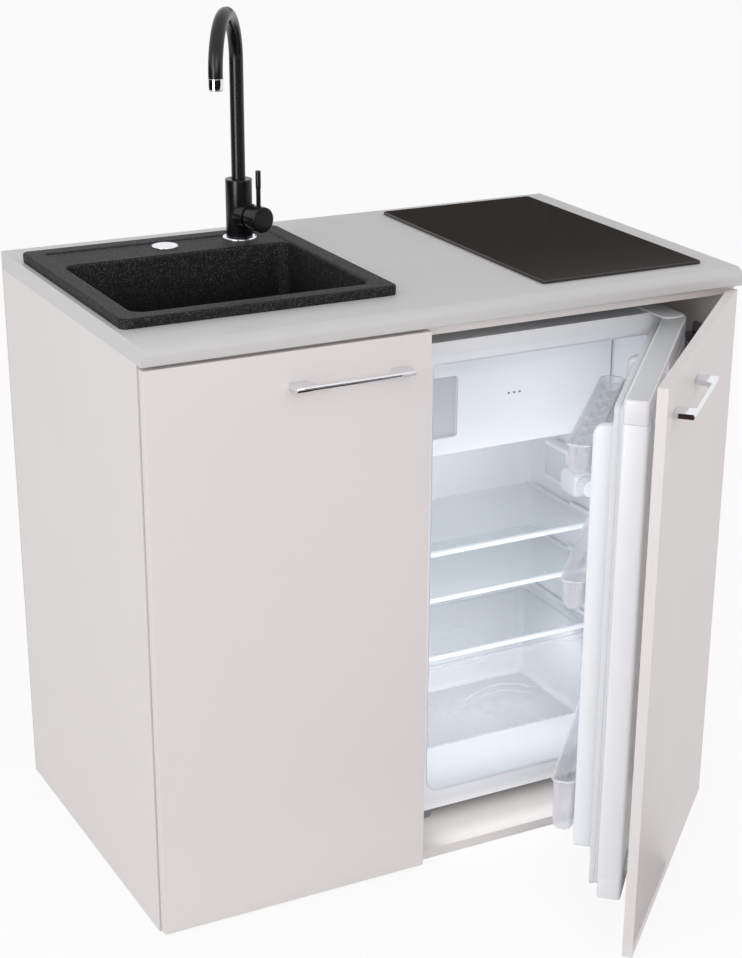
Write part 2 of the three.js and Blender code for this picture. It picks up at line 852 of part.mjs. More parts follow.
function makeMixerHandle() {
  const socketRadius = mixerBallRadius + running + 0.1;
  const mouthAngle = THREE.MathUtils.radToDeg(Math.asin((mixerCapStart - mixerBallCentre) / socketRadius));
  const socket = arc(0, mixerBallCentre, socketRadius, 90, mouthAngle, 8);
  socket[0][0] = 0;
  const edge = 1.5;
  const cap = alongMixer([
    ...socket.slice(-1),
    [mixerCollarRadius, mixerCapStart],
    [mixerCollarRadius, mixerCapEnd - edge],
    [mixerCollarRadius - edge, mixerCapEnd],
    [0, mixerCapEnd],
    ...socket.slice(0, -1),
  ]);
  const tip = mixerCollarRadius + leverLength;
  const lever = turned(
    [
      [0, mixerBallRadius + running],
      [leverRadius, mixerBallRadius + running],
      [leverRadius, mixerCollarRadius + leverLength / 2],
      [leverTipRadius, mixerCollarRadius + leverLength / 2 + 0.5],
      [leverTipRadius, tip - 0.5],
      [leverTipRadius - 0.5, tip],
      [0, tip],
    ],
    leverPlace,
    0,
    16,
  );
  return join(cap, lever);
}

piece("mixer_handle", makeMixerHandle(), finishes.black, mixerGroup);

// ---- Hob ------------------------------------------------------------------------------------

const hobCasingX = [hobCutoutX[0] + hobCasingClearance, hobCutoutX[1] - hobCasingClearance];
const hobCasingY = [hobCutoutY[0] + hobCasingClearance, hobCutoutY[1] - hobCasingClearance];
const hobCasingBottom = worktopTop - hobCasingDepth;
piece(
  "hob_glass",
  raise(roundedRectangle(hobX, hobY, 6), [worktopTop, worktopTop + hobGlassThickness], 1, 2),
  finishes.glass,
);
piece(
  "hob_casing",
  cut(
    block(hobCasingX, hobCasingY, [hobCasingBottom, worktopTop]),
    block(
      [hobCasingX[0] + hobCasingWall, hobCasingX[1] - hobCasingWall],
      [hobCasingY[0] + hobCasingWall, hobCasingY[1] - hobCasingWall],
      [hobCasingBottom + hobCasingWall, worktopTop + 1],
    ),
  ),
  finishes.steel,
);

// A heating element: a dish pressed up against the glass by a spring post on the casing's floor.
function makeElement(radius, y) {
  const dishBottom = worktopTop - elementHeight;
  return turned(
    [
      [0, hobCasingBottom + hobCasingWall],
      [elementPostRadius, hobCasingBottom + hobCasingWall],
      [elementPostRadius, dishBottom],
      [radius - elementEdge, dishBottom],
      [radius, dishBottom + elementEdge],
      [radius, worktopTop],
      [0, worktopTop],
    ],
    (hobX[0] + hobX[1]) / 2,
    y,
  );
}

const elementGap = (hobCutoutY[1] - hobCutoutY[0] - 2 * frontElementRadius - 2 * rearElementRadius) / 3;
const frontElementY = hobCutoutY[0] + elementGap + frontElementRadius;
const rearElementY = hobCutoutY[1] - elementGap - rearElementRadius;
piece("hob_element_front", makeElement(frontElementRadius, frontElementY), finishes.heater);
piece("hob_element_rear", makeElement(rearElementRadius, rearElementY), finishes.heater);

// ---- Furniture doors, with their handles and hinge cups -------------------------------------
// Pieces of a door are drawn with the door closed, then turned about its hinge axis.

function hangAt(x, y, degrees) {
  const hung = new THREE.Group();
  hung.position.set(x, y, 0);
  hung.rotation.z = THREE.MathUtils.degToRad(degrees);
  group.add(hung);
  return (name, geometry, material) => piece(name, geometry.translate(-x, -y, 0), material, hung);
}

const hingeZs = { upper: doorTop - hingeFromDoorEnd, lower: doorBottom + hingeFromDoorEnd };

function cupAcross(hingeEdge, side) {
  return hingeEdge - side * cupFromEdge;
}

// side is -1 for a door hinged on the left and 1 for one hinged on the right.
function makeDoor(xs, side) {
  const hingeEdge = side > 0 ? xs[1] : xs[0];
  const bores = Object.values(hingeZs).map((z) =>
    turned([[0, 0], [cupRadius + running, 0], [cupRadius + running, cupDepth + 3], [0, cupDepth + 3]], 0, 0)
      .rotateX(-Math.PI / 2)
      .translate(cupAcross(hingeEdge, side), doorBack - cupDepth - 1, z),
  );
  const panel = raise(roundedRectangle(xs, [doorFront, doorBack], 1), [doorBottom, doorTop], 0.8, 1);
  return cut(panel, ...bores);
}

function makeHingeCup(hingeEdge, side, z) {
  const flangeBack = doorBack + seat + cupFlangeThickness;
  const cupBottom = doorBack - cupDepth;
  const wall = 1.5;
  const x = cupAcross(hingeEdge, side);
  const cup = turned(
    [
      [0, 0],
      [cupRadius, 0],
      [cupRadius, flangeBack - cupBottom],
      [cupRadius - wall, flangeBack - cupBottom],
      [cupRadius - wall, wall],
      [0, wall],
    ],
    0,
    0,
    24,
  )
    .rotateX(-Math.PI / 2)
    .translate(x, cupBottom, z);
  const plate = block(
    [x - cupFlangeWidth / 2, x + cupFlangeWidth / 2],
    [doorBack + seat, flangeBack],
    [z - cupFlangeLength / 2, z + cupFlangeLength / 2],
  );
  const mouth = turned([[0, 0], [cupRadius - wall, 0], [cupRadius - wall, 4], [0, 4]], 0, 0, 24)
    .rotateX(-Math.PI / 2)
    .translate(x, doorBack - 1, z);
  return join(cup, cut(plate, mouth));
}

function makeHandle(startX) {
  const endX = startX + handleLength;
  const foot = doorFront - seat;
  const barFront = doorFront - handleReach;
  const barBack = barFront + handleBar;
  const corner = 2;
  const sweep = handleFoot + 16;
  const shape = new THREE.Shape();
  shape.moveTo(startX, foot);
  shape.lineTo(startX, barFront + corner);
  shape.quadraticCurveTo(startX, barFront, startX + corner, barFront);
  shape.lineTo(endX - corner, barFront);
  shape.quadraticCurveTo(endX, barFront, endX, barFront + corner);
  shape.lineTo(endX, foot);
  shape.lineTo(endX - handleFoot, foot);
  shape.quadraticCurveTo(endX - handleFoot, barBack, endX - sweep, barBack);
  shape.lineTo(startX + sweep, barBack);
  shape.quadraticCurveTo(startX + handleFoot, barBack, startX + handleFoot, foot);
  shape.closePath();
  const middle = doorTop - handleFromTop;
  return raise(shape, [middle - handleHeight / 2, middle + handleHeight / 2], 0, 5);
}

const leftDoorX = [left + doorEndReveal, doorMeeting - doorMeetingGap / 2];
const rightDoorX = [doorMeeting + doorMeetingGap / 2, right - doorEndReveal];
const axisY = front - doorAxisReach;
const leftAxisX = left + doorAxisInset;
const rightAxisX = right - doorAxisInset;

const onLeftDoor = hangAt(leftAxisX, axisY, 0);
onLeftDoor("left_door", makeDoor(leftDoorX, -1), finishes.board);
onLeftDoor("left_handle", makeHandle(leftDoorX[1] - handleFromEdge - handleLength), finishes.chrome);

const onRightDoor = hangAt(rightAxisX, axisY, rightDoorOpen);
onRightDoor("right_door", makeDoor(rightDoorX, 1), finishes.board);
onRightDoor("right_handle", makeHandle(rightDoorX[0] + handleFromEdge), finishes.chrome);

// Arm and mounting plate on the side panel. The arm stops just short of the closed door's cup.
function makeHingeArm(side, z) {
  const wall = side > 0 ? innerRight : innerLeft;
  const across = (near, far) => [wall - side * near, wall - side * far].sort((a, b) => a - b);
  const armFront = boardFront + hingeArmShort;
  const armBack = armFront + hingeArmLength;
  const plate = block(
    across(0, hingePlateThickness),
    [armBack - hingePlateLength, armBack],
    [z - hingePlateWidth / 2, z + hingePlateWidth / 2],
  );
  const arm = block(
    across(hingePlateThickness / 2, hingeArmHeight),
    [armFront, armBack],
    [z - hingeArmWidth / 2, z + hingeArmWidth / 2],
  );
  return join(plate, arm);
}

for (const [level, z] of Object.entries(hingeZs)) {
  onLeftDoor(`left_${level}_hinge_cup`, makeHingeCup(leftDoorX[0], -1, z), finishes.steel);
  onRightDoor(`right_${level}_hinge_cup`, makeHingeCup(rightDoorX[1], 1, z), finishes.steel);
  piece(`left_${level}_hinge_arm`, makeHingeArm(-1, z), finishes.steel);
  piece(`right_${level}_hinge_arm`, makeHingeArm(1, z), finishes.steel);
}

// ---- Refrigerator casing, liner and what stands in it ---------------------------------------

const fridgeLeft = partitionRight + fridgeGap;
const fridgeRight = innerRight - fridgeHingeSpace;
const fridgeFront = boardFront + fridgeBehindBoards;
const fridgeBack = boardBack - machineSpace;
const fridgeBottom = boardThickness + fridgeBaseHeight;
const fridgeTop = railBottom - fridgeHeadroom;
const linerX = [fridgeLeft + linerSideWall, fridgeRight - linerSideWall];
const linerZ = [fridgeBottom + linerBottomWall, fridgeTop - linerTopWall];
const linerBack = fridgeBack - linerRearWall;
const freezerBottom = linerZ[1] - freezerHeight;
const upperShelfTop = freezerBottom - upperShelfDrop;
const lowerShelfTop = upperShelfTop - shelfSpacing;
const crisperCoverTop = linerZ[0] + crisperHeight + crisperCoverRise;

const linerOuter = roundedRectangle(grown(linerX, linerSkin), grown(linerZ, linerSkin), linerRadius + linerSkin);
const linerInner = roundedRectangle(linerX, linerZ, linerRadius);
piece(
  "fridge_casing",
  cut(
    block([fridgeLeft, fridgeRight], [fridgeFront, fridgeBack], [fridgeBottom, fridgeTop]),
    drawBack(linerOuter, [fridgeFront - 1, linerBack + linerSkin]),
  ),
  finishes.enamel,
);

const shelfY = [fridgeFront + shelfSetback, linerBack - shelfRearGap];

function shelfRibs(top) {
  const heights = [top - shelfGlass - shelfRibHeight, top - shelfGlass];
  const ribY = [shelfY[0] + shelfTrimDepth + 2, shelfY[1]];
  return [
    block([linerX[0] - 1, linerX[0] + shelfRibWidth], ribY, heights),
    block([linerX[1] - shelfRibWidth, linerX[1] + 1], ribY, heights),
  ];
}

piece(
  "fridge_liner",
  join(
    cut(
      drawBack(linerOuter, [fridgeFront, linerBack + linerSkin]),
      drawBack(linerInner, [fridgeFront - 1, linerBack]),
    ),
    ...shelfRibs(upperShelfTop),
    ...shelfRibs(lowerShelfTop),
    ...shelfRibs(crisperCoverTop),
  ),
  finishes.plastic,
);

// A glass shelf with a moulded trim along its front.
function makeShelf(top) {
  const across = [linerX[0] + 1, linerX[1] - 1];
  const glass = block(across, shelfY, [top - shelfGlass, top]);
  const trimFront = [shelfY[0], shelfY[0] + shelfTrimDepth];
  return join(glass, block(across, trimFront, [top - shelfTrimHeight + 1, top + 1]));
}

piece("shelf_upper", makeShelf(upperShelfTop), finishes.clear);
piece("shelf_lower", makeShelf(lowerShelfTop), finishes.clear);
piece("crisper_cover", makeShelf(crisperCoverTop), finishes.clear);

const crisperX = [linerX[0] + crisperSideGap, linerX[1] - crisperSideGap];
const crisperEdge = linerRadius - crisperSideGap + 1;
piece(
  "crisper_drawer",
  tub(crisperX, shelfY, [linerZ[0], linerZ[0] + crisperHeight], crisperWall, crisperEdge + 1, crisperEdge),
  finishes.clear,
);

const freezerX = grown(linerX, -running);
const freezerZ = [freezerBottom, linerZ[1] - running];
const freezerY = [fridgeFront + freezerFrontSetback, linerBack - running];
piece(
  "freezer_box",
  cut(
    drawBack(roundedRectangle(freezerX, freezerZ, linerRadius), freezerY),
    drawBack(
      roundedRectangle(grown(freezerX, -freezerWall), grown(freezerZ, -freezerWall), linerRadius - freezerWall),
      [freezerY[0] - 1, freezerY[1] - freezerWall],
    ),
  ),
  finishes.plastic,
);

const flapBack = freezerY[0] - running;
const flapFront = flapBack - flapThickness;
const flapX = [linerX[0] + flapSideGap, linerX[1] - flapSideGap];
const flapZ = [freezerBottom + flapRise, linerZ[1] - flapTopGap];
const gripX = flapX[0] + flapGripFromLeft;
const flapBarrelZ = [flapZ[0], flapZ[1] - flapCornerRadius - flapBarrelRadius];
piece(
  "freezer_flap",
  cut(
    join(
      drawBack(roundedRectangle(flapX, flapZ, flapCornerRadius), [flapFront, flapBack]),
      rod(flapBarrelRadius, linerX[1] - flapAxisInset, flapFront, flapBarrelZ, 12),
    ),
    block(
      [gripX, gripX + flapGripWidth],
      [flapFront - 1, flapFront + flapGripDepth],
      [flapZ[0] + flapGripBottom, flapZ[0] + flapGripBottom + flapGripHeight],
    ),
  ),
  finishes.plastic,
);

const lampBoxBottom = freezerBottom - lampBoxDrop - lampBoxHeight;
const lampBoxY = linerBack - lampBoxFromBack - lampBoxLength;
const dialBoxY = lampBoxY - dialBoxLength;
const dialX = linerX[1] - dialBoxDepth / 2;
const dialZ = lampBoxBottom + dialBoxHeight / 2;
piece(
  "thermostat_housing",
  join(
    block(
      [linerX[1] - lampBoxDepth, linerX[1]],
      [lampBoxY, lampBoxY + lampBoxLength],
      [lampBoxBottom, lampBoxBottom + lampBoxHeight],
    ),
    block(
      [linerX[1] - dialBoxDepth, linerX[1]],
      [dialBoxY, lampBoxY + dialBoxLength / 3],
      [lampBoxBottom, lampBoxBottom + dialBoxHeight],
    ),
  ),
  finishes.plastic,
);
piece(
  "thermostat_knob",
  turned([[0, 0], [dialRadius - 1.5, 0], [dialRadius, 1.5], [dialRadius, dialLength], [0, dialLength]], 0, 0, 24)
    .rotateX(-Math.PI / 2)
    .translate(dialX, dialBoxY - dialLength - running, dialZ),
  finishes.plastic,
);

// ---- Base and compressor --------------------------------------------------------------------

function makeBase() {
  const xs = grown([fridgeLeft, fridgeRight], -baseInset);
  const ys = [fridgeFront + baseInset, boardBack - 5];
  const tray = block(xs, ys, [fridgeBottom - baseTrayHeight, fridgeBottom]);
  const footX = grown(xs, -baseFootRadius - 2);
  const footY = grown(ys, -baseFootRadius - 2);
  const feet = footX.flatMap((x) =>
    footY.map((y) => rod(baseFootRadius, x, y, [boardThickness, fridgeBottom - baseTrayHeight / 2], 20)),
  );
  return join(tray, ...feet);
}

piece("fridge_base", makeBase(), finishes.painted);

piece(
  "compressor",
  turned(
    [
      [0, fridgeBottom],
      [compressorRadius - compressorShoulder, fridgeBottom],
      [compressorRadius, fridgeBottom + compressorShoulder],
      [compressorRadius, fridgeBottom + compressorHeight - 2 * compressorShoulder],
      [compressorRadius - compressorShoulder, fridgeBottom + compressorHeight - compressorShoulder / 2],
      [0, fridgeBottom + compressorHeight],
    ],
    fridgeRight - 2 * compressorRadius,
    (fridgeBack + boardBack) / 2,
  ),
  finishes.painted,
);

// ---- Refrigerator door ----------------------------------------------------------------------

const pinX = fridgeRight - fridgePinInset;
const fridgeDoorFront = doorBack + fridgeDoorGap;
const fridgeDoorSkin = fridgeDoorFront + fridgeDoorThickness;
const pinY = fridgeDoorFront + fridgePinDepth;
const fridgeDoorZ = [fridgeBottom + fridgeDoorEndGap, fridgeTop - fridgeDoorEndGap];
const onFridgeDoor = hangAt(pinX, pinY, rightDoorOpen * fridgeDoorRatio);

function makeFridgeDoorPanel() {
  const outline = roundedRectangle([fridgeLeft, fridgeRight], [fridgeDoorFront, fridgeDoorSkin], fridgeDoorEdgeRadius);
  const boreDepth = fridgePinLength + 2;
  const boreRadius = fridgePinRadius + running;
  return cut(
    raise(outline, fridgeDoorZ, 0, 3),
    rod(boreRadius, pinX, pinY, [fridgeDoorZ[1] - boreDepth, fridgeDoorZ[1] + 1], 16),
    rod(boreRadius, pinX, pinY, [fridgeDoorZ[0] - 1, fridgeDoorZ[0] + boreDepth], 16),
  );
}

onFridgeDoor("fridge_door_panel", makeFridgeDoorPanel(), finishes.enamel);

const gasketX = grown([fridgeLeft, fridgeRight], -gasketInset);
const gasketZ = grown(fridgeDoorZ, -gasketInset);
const doorSkinSeat = fridgeDoorSkin + seat;
onFridgeDoor(
  "fridge_door_gasket",
  cut(
    block(gasketX, [doorSkinSeat, doorSkinSeat + gasketDepth], gasketZ),
    block(
      grown(gasketX, -gasketWidth),
      [doorSkinSeat - 1, doorSkinSeat + gasketDepth + 1],
      grown(gasketZ, -gasketWidth),
    ),
  ),
  finishes.seal,
);

const dikeLeft = [fridgeLeft + dikeFromFreeEnd, fridgeLeft + dikeFromFreeEnd + dikeWidth];
const dikeRight = [fridgeRight - dikeFromHingeEnd - dikeWidth, fridgeRight - dikeFromHingeEnd];
const dikeFace = fridgeDoorSkin + dikeDepth;
const dikeZ = [fridgeDoorZ[0] + dikeFromDoorBottom, fridgeDoorZ[1] - dikeFromDoorTop];

function makeDoorLiner() {
  const plate = block(
    grown(gasketX, -gasketWidth - 1),
    [doorSkinSeat, doorSkinSeat + doorLinerDepth],
    grown(gasketZ, -gasketWidth - 1),
  );
  const ridge = roundedRectangle([doorSkinSeat - dikeRadius, dikeFace], dikeZ, dikeRadius);
  const behindSkin = block(
    [fridgeLeft, fridgeRight],
    [doorSkinSeat - 2 * dikeRadius, doorSkinSeat],
    grown(dikeZ, 1),
  );
  return cut(join(plate, drawAcross(ridge, dikeLeft), drawAcross(ridge, dikeRight)), behindSkin);
}

onFridgeDoor("fridge_door_liner", makeDoorLiner(), finishes.plastic);

// A bin stands between the two dikes and widens in front of them.
function makeBin(bottom, rim) {
  const waistX = [dikeLeft[1] + seat, dikeRight[0] - seat];
  const waistY = [doorSkinSeat + doorLinerDepth + seat, dikeFace + seat + binWall];
  const trayX = [dikeLeft[1] - binOverhangFree, dikeRight[0] + binOverhangHinge];
  const trayY = [dikeFace + seat, fridgeDoorSkin + binReach];
  const outside = join(
    block(waistX, waistY, [bottom, rim]),
    raise(roundedRectangle(trayX, trayY, binCornerRadius), [bottom, rim]),
  );
  const hollowZ = [bottom + binWall, rim + 1];
  return cut(
    outside,
    block(grown(waistX, -binWall), [waistY[0] + binWall, waistY[1] + binWall], hollowZ),
    raise(
      roundedRectangle(grown(trayX, -binWall), grown(trayY, -binWall), binCornerRadius - binWall),
      hollowZ,
    ),
  );
}

const upperBinBottom = dikeZ[1] - upperBinDrop;
const middleBinBottom = upperBinBottom - binSpacing;
const lowerBinBottom = dikeZ[0] + lowerBinRise;
onFridgeDoor("bin_upper", makeBin(upperBinBottom, upperBinBottom + upperBinHeight), finishes.clear);
onFridgeDoor("bin_middle", makeBin(middleBinBottom, middleBinBottom + middleBinHeight), finishes.clear);
onFridgeDoor("bin_lower", makeBin(lowerBinBottom, lowerBinBottom + lowerBinHeight), finishes.clear);

// A bracket on the casing, with the pin that the door turns on.
function makeDoorBracket(plateZ, pinZ) {
  const plate = block(
    [pinX - bracketWidth + fridgePinInset, pinX + fridgePinInset],
    [pinY - fridgePinRadius - 4, fridgeFront + bracketBite],
    plateZ,
  );
  return join(plate, rod(fridgePinRadius, pinX, pinY, pinZ, 16));
}

piece(
  "fridge_upper_hinge",
  makeDoorBracket([fridgeTop, fridgeTop + bracketThickness], [fridgeTop - fridgePinLength, fridgeTop + 1]),
  finishes.enamel,
);
const lowerBracketBite = baseInset - 2;
piece(
  "fridge_lower_hinge",
  cut(
    makeDoorBracket([fridgeBottom - bracketThickness, fridgeBottom], [fridgeBottom - 1, fridgeBottom + fridgePinLength]),
    block(
      [pinX - bracketWidth, pinX + bracketWidth],
      [fridgeFront + lowerBracketBite, fridgeFront + bracketBite + 1],
      [fridgeBottom - bracketThickness - 1, fridgeBottom + 1],
    ),
  ),
  finishes.enamel,
);

// Sliding coupling between the two right doors: a rail on the furniture door's back and a block
// on the refrigerator door that runs along it.
const slideZs = { upper: doorTop - slideFromDoorEnd, lower: doorBottom + slideFromDoorEnd };
const blockX = [fridgeLeft + slideFromFreeEnd, fridgeLeft + slideFromFreeEnd + slideBlockLength];
for (const [level, z] of Object.entries(slideZs)) {
  const railStart = blockX[0] - slideRailLead;
  onRightDoor(
    `${level}_slide_rail`,
    block(
      [railStart, railStart + slideRailLength],
      [doorBack + seat, doorBack + seat + slideThickness],
      [z - slideRailWidth / 2, z + slideRailWidth / 2],
    ),
    finishes.plastic,
  );
  onFridgeDoor(
    `${level}_slide_block`,
    block(
      blockX,
      [fridgeDoorFront - seat - slideBlockThickness, fridgeDoorFront - seat],
      [z - slideBlockWidth / 2, z + slideBlockWidth / 2],
    ),
    finishes.plastic,
  );
}

export default group;
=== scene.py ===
# A kitchenette unit: cabinet, worktop, composite sink with its tap, glass hob, and a refrigerator
# behind the right door. Metres, +Z up, the front faces -Y.
import math

import bmesh
import bpy
import numpy as np
from mathutils import Matrix, Vector


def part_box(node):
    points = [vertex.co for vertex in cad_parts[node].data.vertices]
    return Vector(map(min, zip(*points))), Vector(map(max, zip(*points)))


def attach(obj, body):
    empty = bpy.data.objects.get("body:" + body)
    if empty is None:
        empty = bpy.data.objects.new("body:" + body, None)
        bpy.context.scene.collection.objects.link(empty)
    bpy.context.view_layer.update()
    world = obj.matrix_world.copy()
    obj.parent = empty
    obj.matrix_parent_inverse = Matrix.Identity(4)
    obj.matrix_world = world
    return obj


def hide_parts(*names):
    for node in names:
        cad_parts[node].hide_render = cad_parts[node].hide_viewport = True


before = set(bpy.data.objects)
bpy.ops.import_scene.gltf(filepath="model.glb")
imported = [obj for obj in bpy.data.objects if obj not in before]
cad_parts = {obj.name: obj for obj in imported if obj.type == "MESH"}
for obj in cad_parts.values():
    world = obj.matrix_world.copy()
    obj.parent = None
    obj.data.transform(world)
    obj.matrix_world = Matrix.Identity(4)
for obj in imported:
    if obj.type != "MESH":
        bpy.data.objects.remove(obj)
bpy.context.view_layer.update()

# ---- Camera ---------------------------------------------------------------------------------
# A long lens from the left and above. The camera stands level but for a slight roll, and its shift
# frames the unit as the photograph does.


def placed(name, data):
    """A new object that holds the data, in the scene."""
    whole = bpy.data.objects.new(name, data)
    bpy.context.collection.objects.link(whole)
    return whole


image_width, image_height = 742, 958
focal_length_px = 1998.84
principal_x_px, principal_y_px = 413.17, 564.01
camera_place = (-1.41846, -2.72960, 1.69335)
camera_azimuth, camera_elevation, camera_roll = (math.radians(a) for a in (-28.848, 22.671, 0.804))

camera_data = bpy.data.cameras.new("camera")
camera_data.sensor_width = 36.0
camera_data.lens = camera_data.sensor_width * focal_length_px / image_height
camera_data.shift_x = (image_width / 2 - principal_x_px) / image_height
camera_data.shift_y = (principal_y_px - image_height / 2) / image_height
camera = placed("camera", camera_data)
camera.matrix_world = (
    Matrix.Translation(camera_place) @ Matrix.Rotation(camera_azimuth, 4, "Z")
    @ Matrix.Rotation(math.pi / 2 - camera_elevation, 4, "X") @ Matrix.Rotation(camera_roll, 4, "Z")
)
bpy.context.scene.camera = camera
bpy.context.scene.view_settings.view_transform = "Standard"

# ---- Floor and light ------------------------------------------------------------------------
# A pale studio floor under an even white sky, with one broad lamp from the front and one from the
# left. Small lamps light the refrigerator, and those in its opening are shut in with its door.
# Cards that only mirrored rays meet give metal and glass their contrast.


def srgb(red, green, blue):
    """A colour of 0 to 255 steps as linear light: ((c / 255 + 0.055) / 1.055) to the power 2.4."""
    steps = np.array([red, green, blue]) / 255
    linear = np.where(steps > 0.04045, ((steps + 0.055) / 1.055) ** 2.4, steps / 12.92)
    return (*linear.tolist(), 1.0)


class Tree:
    """A node tree being built. A value is a number, a colour or the output of another node."""

    def __init__(self, tree):
        self.nodes, self.links = tree.nodes, tree.links

    def fill(self, node, values):
        """Sets the node's inputs, each by its name or number."""
        for key, value in values.items():
            if isinstance(value, bpy.types.NodeSocket):
                self.links.new(value, node.inputs[key])
            else:
                node.inputs[key].default_value = value
        return node

    def add(self, kind, values):
        return self.fill(self.nodes.new("ShaderNode" + kind), values)

    def math(self, operation, first, second):
        node = self.add("Math", {0: first, 1: second})
        node.operation = operation
        return node.outputs[0]

    def mix(self, factor, first, second):
        """The first colour where factor is 0, the second where it is 1."""
        node = self.add("Mix", {})
        node.data_type = "RGBA"
        return self.fill(node, {"Factor": factor, "A": first, "B": second}).outputs["Result"]

    def noise(self, vector, scale, detail):
        """Smooth noise of 0 to 1 with about scale bumps to the metre."""
        return self.add("TexNoise", {"Detail": detail, "Vector": vector, "Scale": scale}).outputs["Fac"]

    def bump(self, shader, height, distance):
        """Tilts the shader's normal as if height 1 stood distance metres proud."""
        node = self.add("Bump", {"Strength": 1.0, "Distance": distance, "Height": height})
        self.fill(shader, {"Normal": node.outputs["Normal"]})

    def object_place(self):
        return self.add("TexCoord", {}).outputs["Object"]


def seen_directly(tree):
    """1 for camera, mirror and glass rays, 0 for the light that falls on things."""
    path = tree.add("LightPath", {}).outputs
    seen = tree.math("MAXIMUM", path["Is Camera Ray"], path["Is Glossy Ray"])
    return tree.math("MAXIMUM", seen, path["Is Transmission Ray"])


def two_faced(tree, share, lit, seen, output):
    """Sends one shader to the tree's output for light that falls, and another where rays see directly."""
    mix = tree.add("MixShader", {0: share, 1: lit.outputs[0], 2: seen.outputs[0]})
    tree.fill(tree.nodes[output], {"Surface": mix.outputs[0]})


white = (1, 1, 1, 1)
sky = bpy.data.worlds.new("studio_sky")
sky.use_nodes = True
bpy.context.scene.world = sky
sky_tree = Tree(sky.node_tree)
sky_light = sky_tree.fill(sky_tree.nodes["Background"], {"Color": srgb(250, 251, 255), "Strength": 0.77})
sky_white = sky_tree.add("Background", {"Color": white, "Strength": 1.0})
two_faced(sky_tree, seen_directly(sky_tree), sky_light, sky_white, "World Output")


def new_finish(name, specular=0.5, metal=0.0, **shader_values):
    """A material, its node tree and its Principled shader."""
    material = bpy.data.materials.new(name)
    material.use_nodes = True
    tree = Tree(material.node_tree)
    values = {"Specular IOR Level": specular, "Metallic": metal}
    values |= {key.replace("_", " "): value for key, value in shader_values.items()}
    return material, tree, tree.fill(tree.nodes["Principled BSDF"], values)


def floor_finish():
    """Matt pale floor; where it is seen, most of its brightness is its own white."""
    material, tree, shader = new_finish("studio_floor", 0.0, Base_Color=srgb(248, 247, 246), Roughness=0.9)
    own_white = tree.math("MULTIPLY", seen_directly(tree), 0.86)
    two_faced(tree, own_white, shader, tree.add("Emission", {"Color": white}), "Material Output")
    return material


def sheet(name, start, end, material):
    """A flat rectangle between two opposite corners."""
    corners = np.array([start, start, end, end], float)
    first = np.flatnonzero(corners[0] != corners[2])[0]
    corners[1, first], corners[3, first] = end[first], start[first]
    mesh = bpy.data.meshes.new(name)
    mesh.from_pydata(corners.tolist(), [], [(0, 1, 2, 3)])
    mesh.materials.append(material)
    return placed(name, mesh)


sheet("studio_floor", (-80, -80, 0), (80, 80, 0), floor_finish())


def lamp(name, place, target, width, height, watts, tint=(1, 1, 1)):
    """A soft rectangular lamp at a place, facing a target. Mirrors show only the broad ones."""
    data = bpy.data.lights.new(name, "AREA")
    data.shape = "RECTANGLE"
    data.size, data.size_y, data.energy, data.color = width, height, watts, tint
    whole = placed(name, data)
    facing = (Vector(target) - Vector(place)).to_track_quat("-Z", "Y").to_matrix().to_4x4()
    whole.matrix_world = Matrix.Translation(place) @ facing
    whole.visible_camera = False
    whole.visible_glossy = width > 1


lamp("front_lamp", (-0.7, -3.6, 2.0), (0.05, 0.0, 0.4), 2.4, 1.6, 26.3, (1.0, 0.985, 0.98))
lamp("left_lamp", (-3.4, -1.2, 2.2), (-0.2, 0.0, 0.6), 1.6, 1.6, 24.5, (0.97, 0.99, 1.0))
lamp("bay_lamp", (0.19, -0.222, 0.385), (0.19, 0.12, 0.385), 0.36, 0.49, 0.355, (0.99, 0.985, 1.0))
lamp("crisper_lamp", (0.19, -0.060, 0.243), (0.19, 0.03, 0.09), 0.32, 0.08, 0.26, (0.96, 0.985, 1.0))
lamp("shelf_lamp", (0.19, 0.02, 0.618), (0.19, 0.02, 0.4), 0.30, 0.16, 0.068, (0.98, 0.985, 1.0))
lamp("plinth_lamp", (0.18, -0.268, 0.052), (0.18, -0.25, 0.0), 0.38, 0.02, 0.056, (0.94, 0.98, 1.0))
lamp("base_lamp", (0.18, -0.212, 0.0525), (0.18, -0.213, 0.0), 0.40, 0.03, 0.032, (0.94, 0.98, 1.0))
lamp("gap_lamp", (0.287, -0.446, 0.46), (-0.438, -1.134, 0.46), 0.02, 0.72, 0.32)
lamp("door_lamp", (0.19, -0.232, 0.385), (0.19, -1.0, 0.385), 0.36, 0.50, 0.45, (0.98, 0.985, 1.0))
lamp("flap_lamp", (0.27, -0.224, 0.72), (0.27, 0.1, 0.70), 0.16, 0.12, 0.022, (0.98, 0.985, 1.0))


def card(name, start, end, colour, glow=0.0):
    """A flat card that only mirrored rays meet; glow is its own light."""
    material, _, _ = new_finish(name, 0.0, Base_Color=srgb(*colour), Roughness=1.0, Emission_Color=white,
                                Emission_Strength=glow)
    whole = sheet(name, start, end, material)
    whole.visible_camera = whole.visible_diffuse = whole.visible_shadow = whole.visible_transmission = False


card("back_card", (1.5, 3.5, 1.5), (3.7, 3.5, 2.17), (60, 52, 46))
card("front_card", (-4.3, -4.6, 0.0), (6, -4.6, 1.5), (34, 31, 30))
card("left_card", (-4.3, 6.0, 0.0), (-4.3, -4.6, 1.5), (34, 31, 30))
card("floor_card", (-2.5, -3.0, 0.02), (4.0, -0.5, 0.02), (58, 40, 33))
card("strip_card", (-3.2, -3.1, 0.0), (-3.2, -1.2, 1.8), (255, 255, 255), 5.5)

# ---- Cabinet boards -------------------------------------------------------------------------
# Chipboard faced with a matt off-white melamine that has a very fine pearl grain, its cut edges
# banded with the same foil. The side boards, bottom, partition and rails are dowelled together.


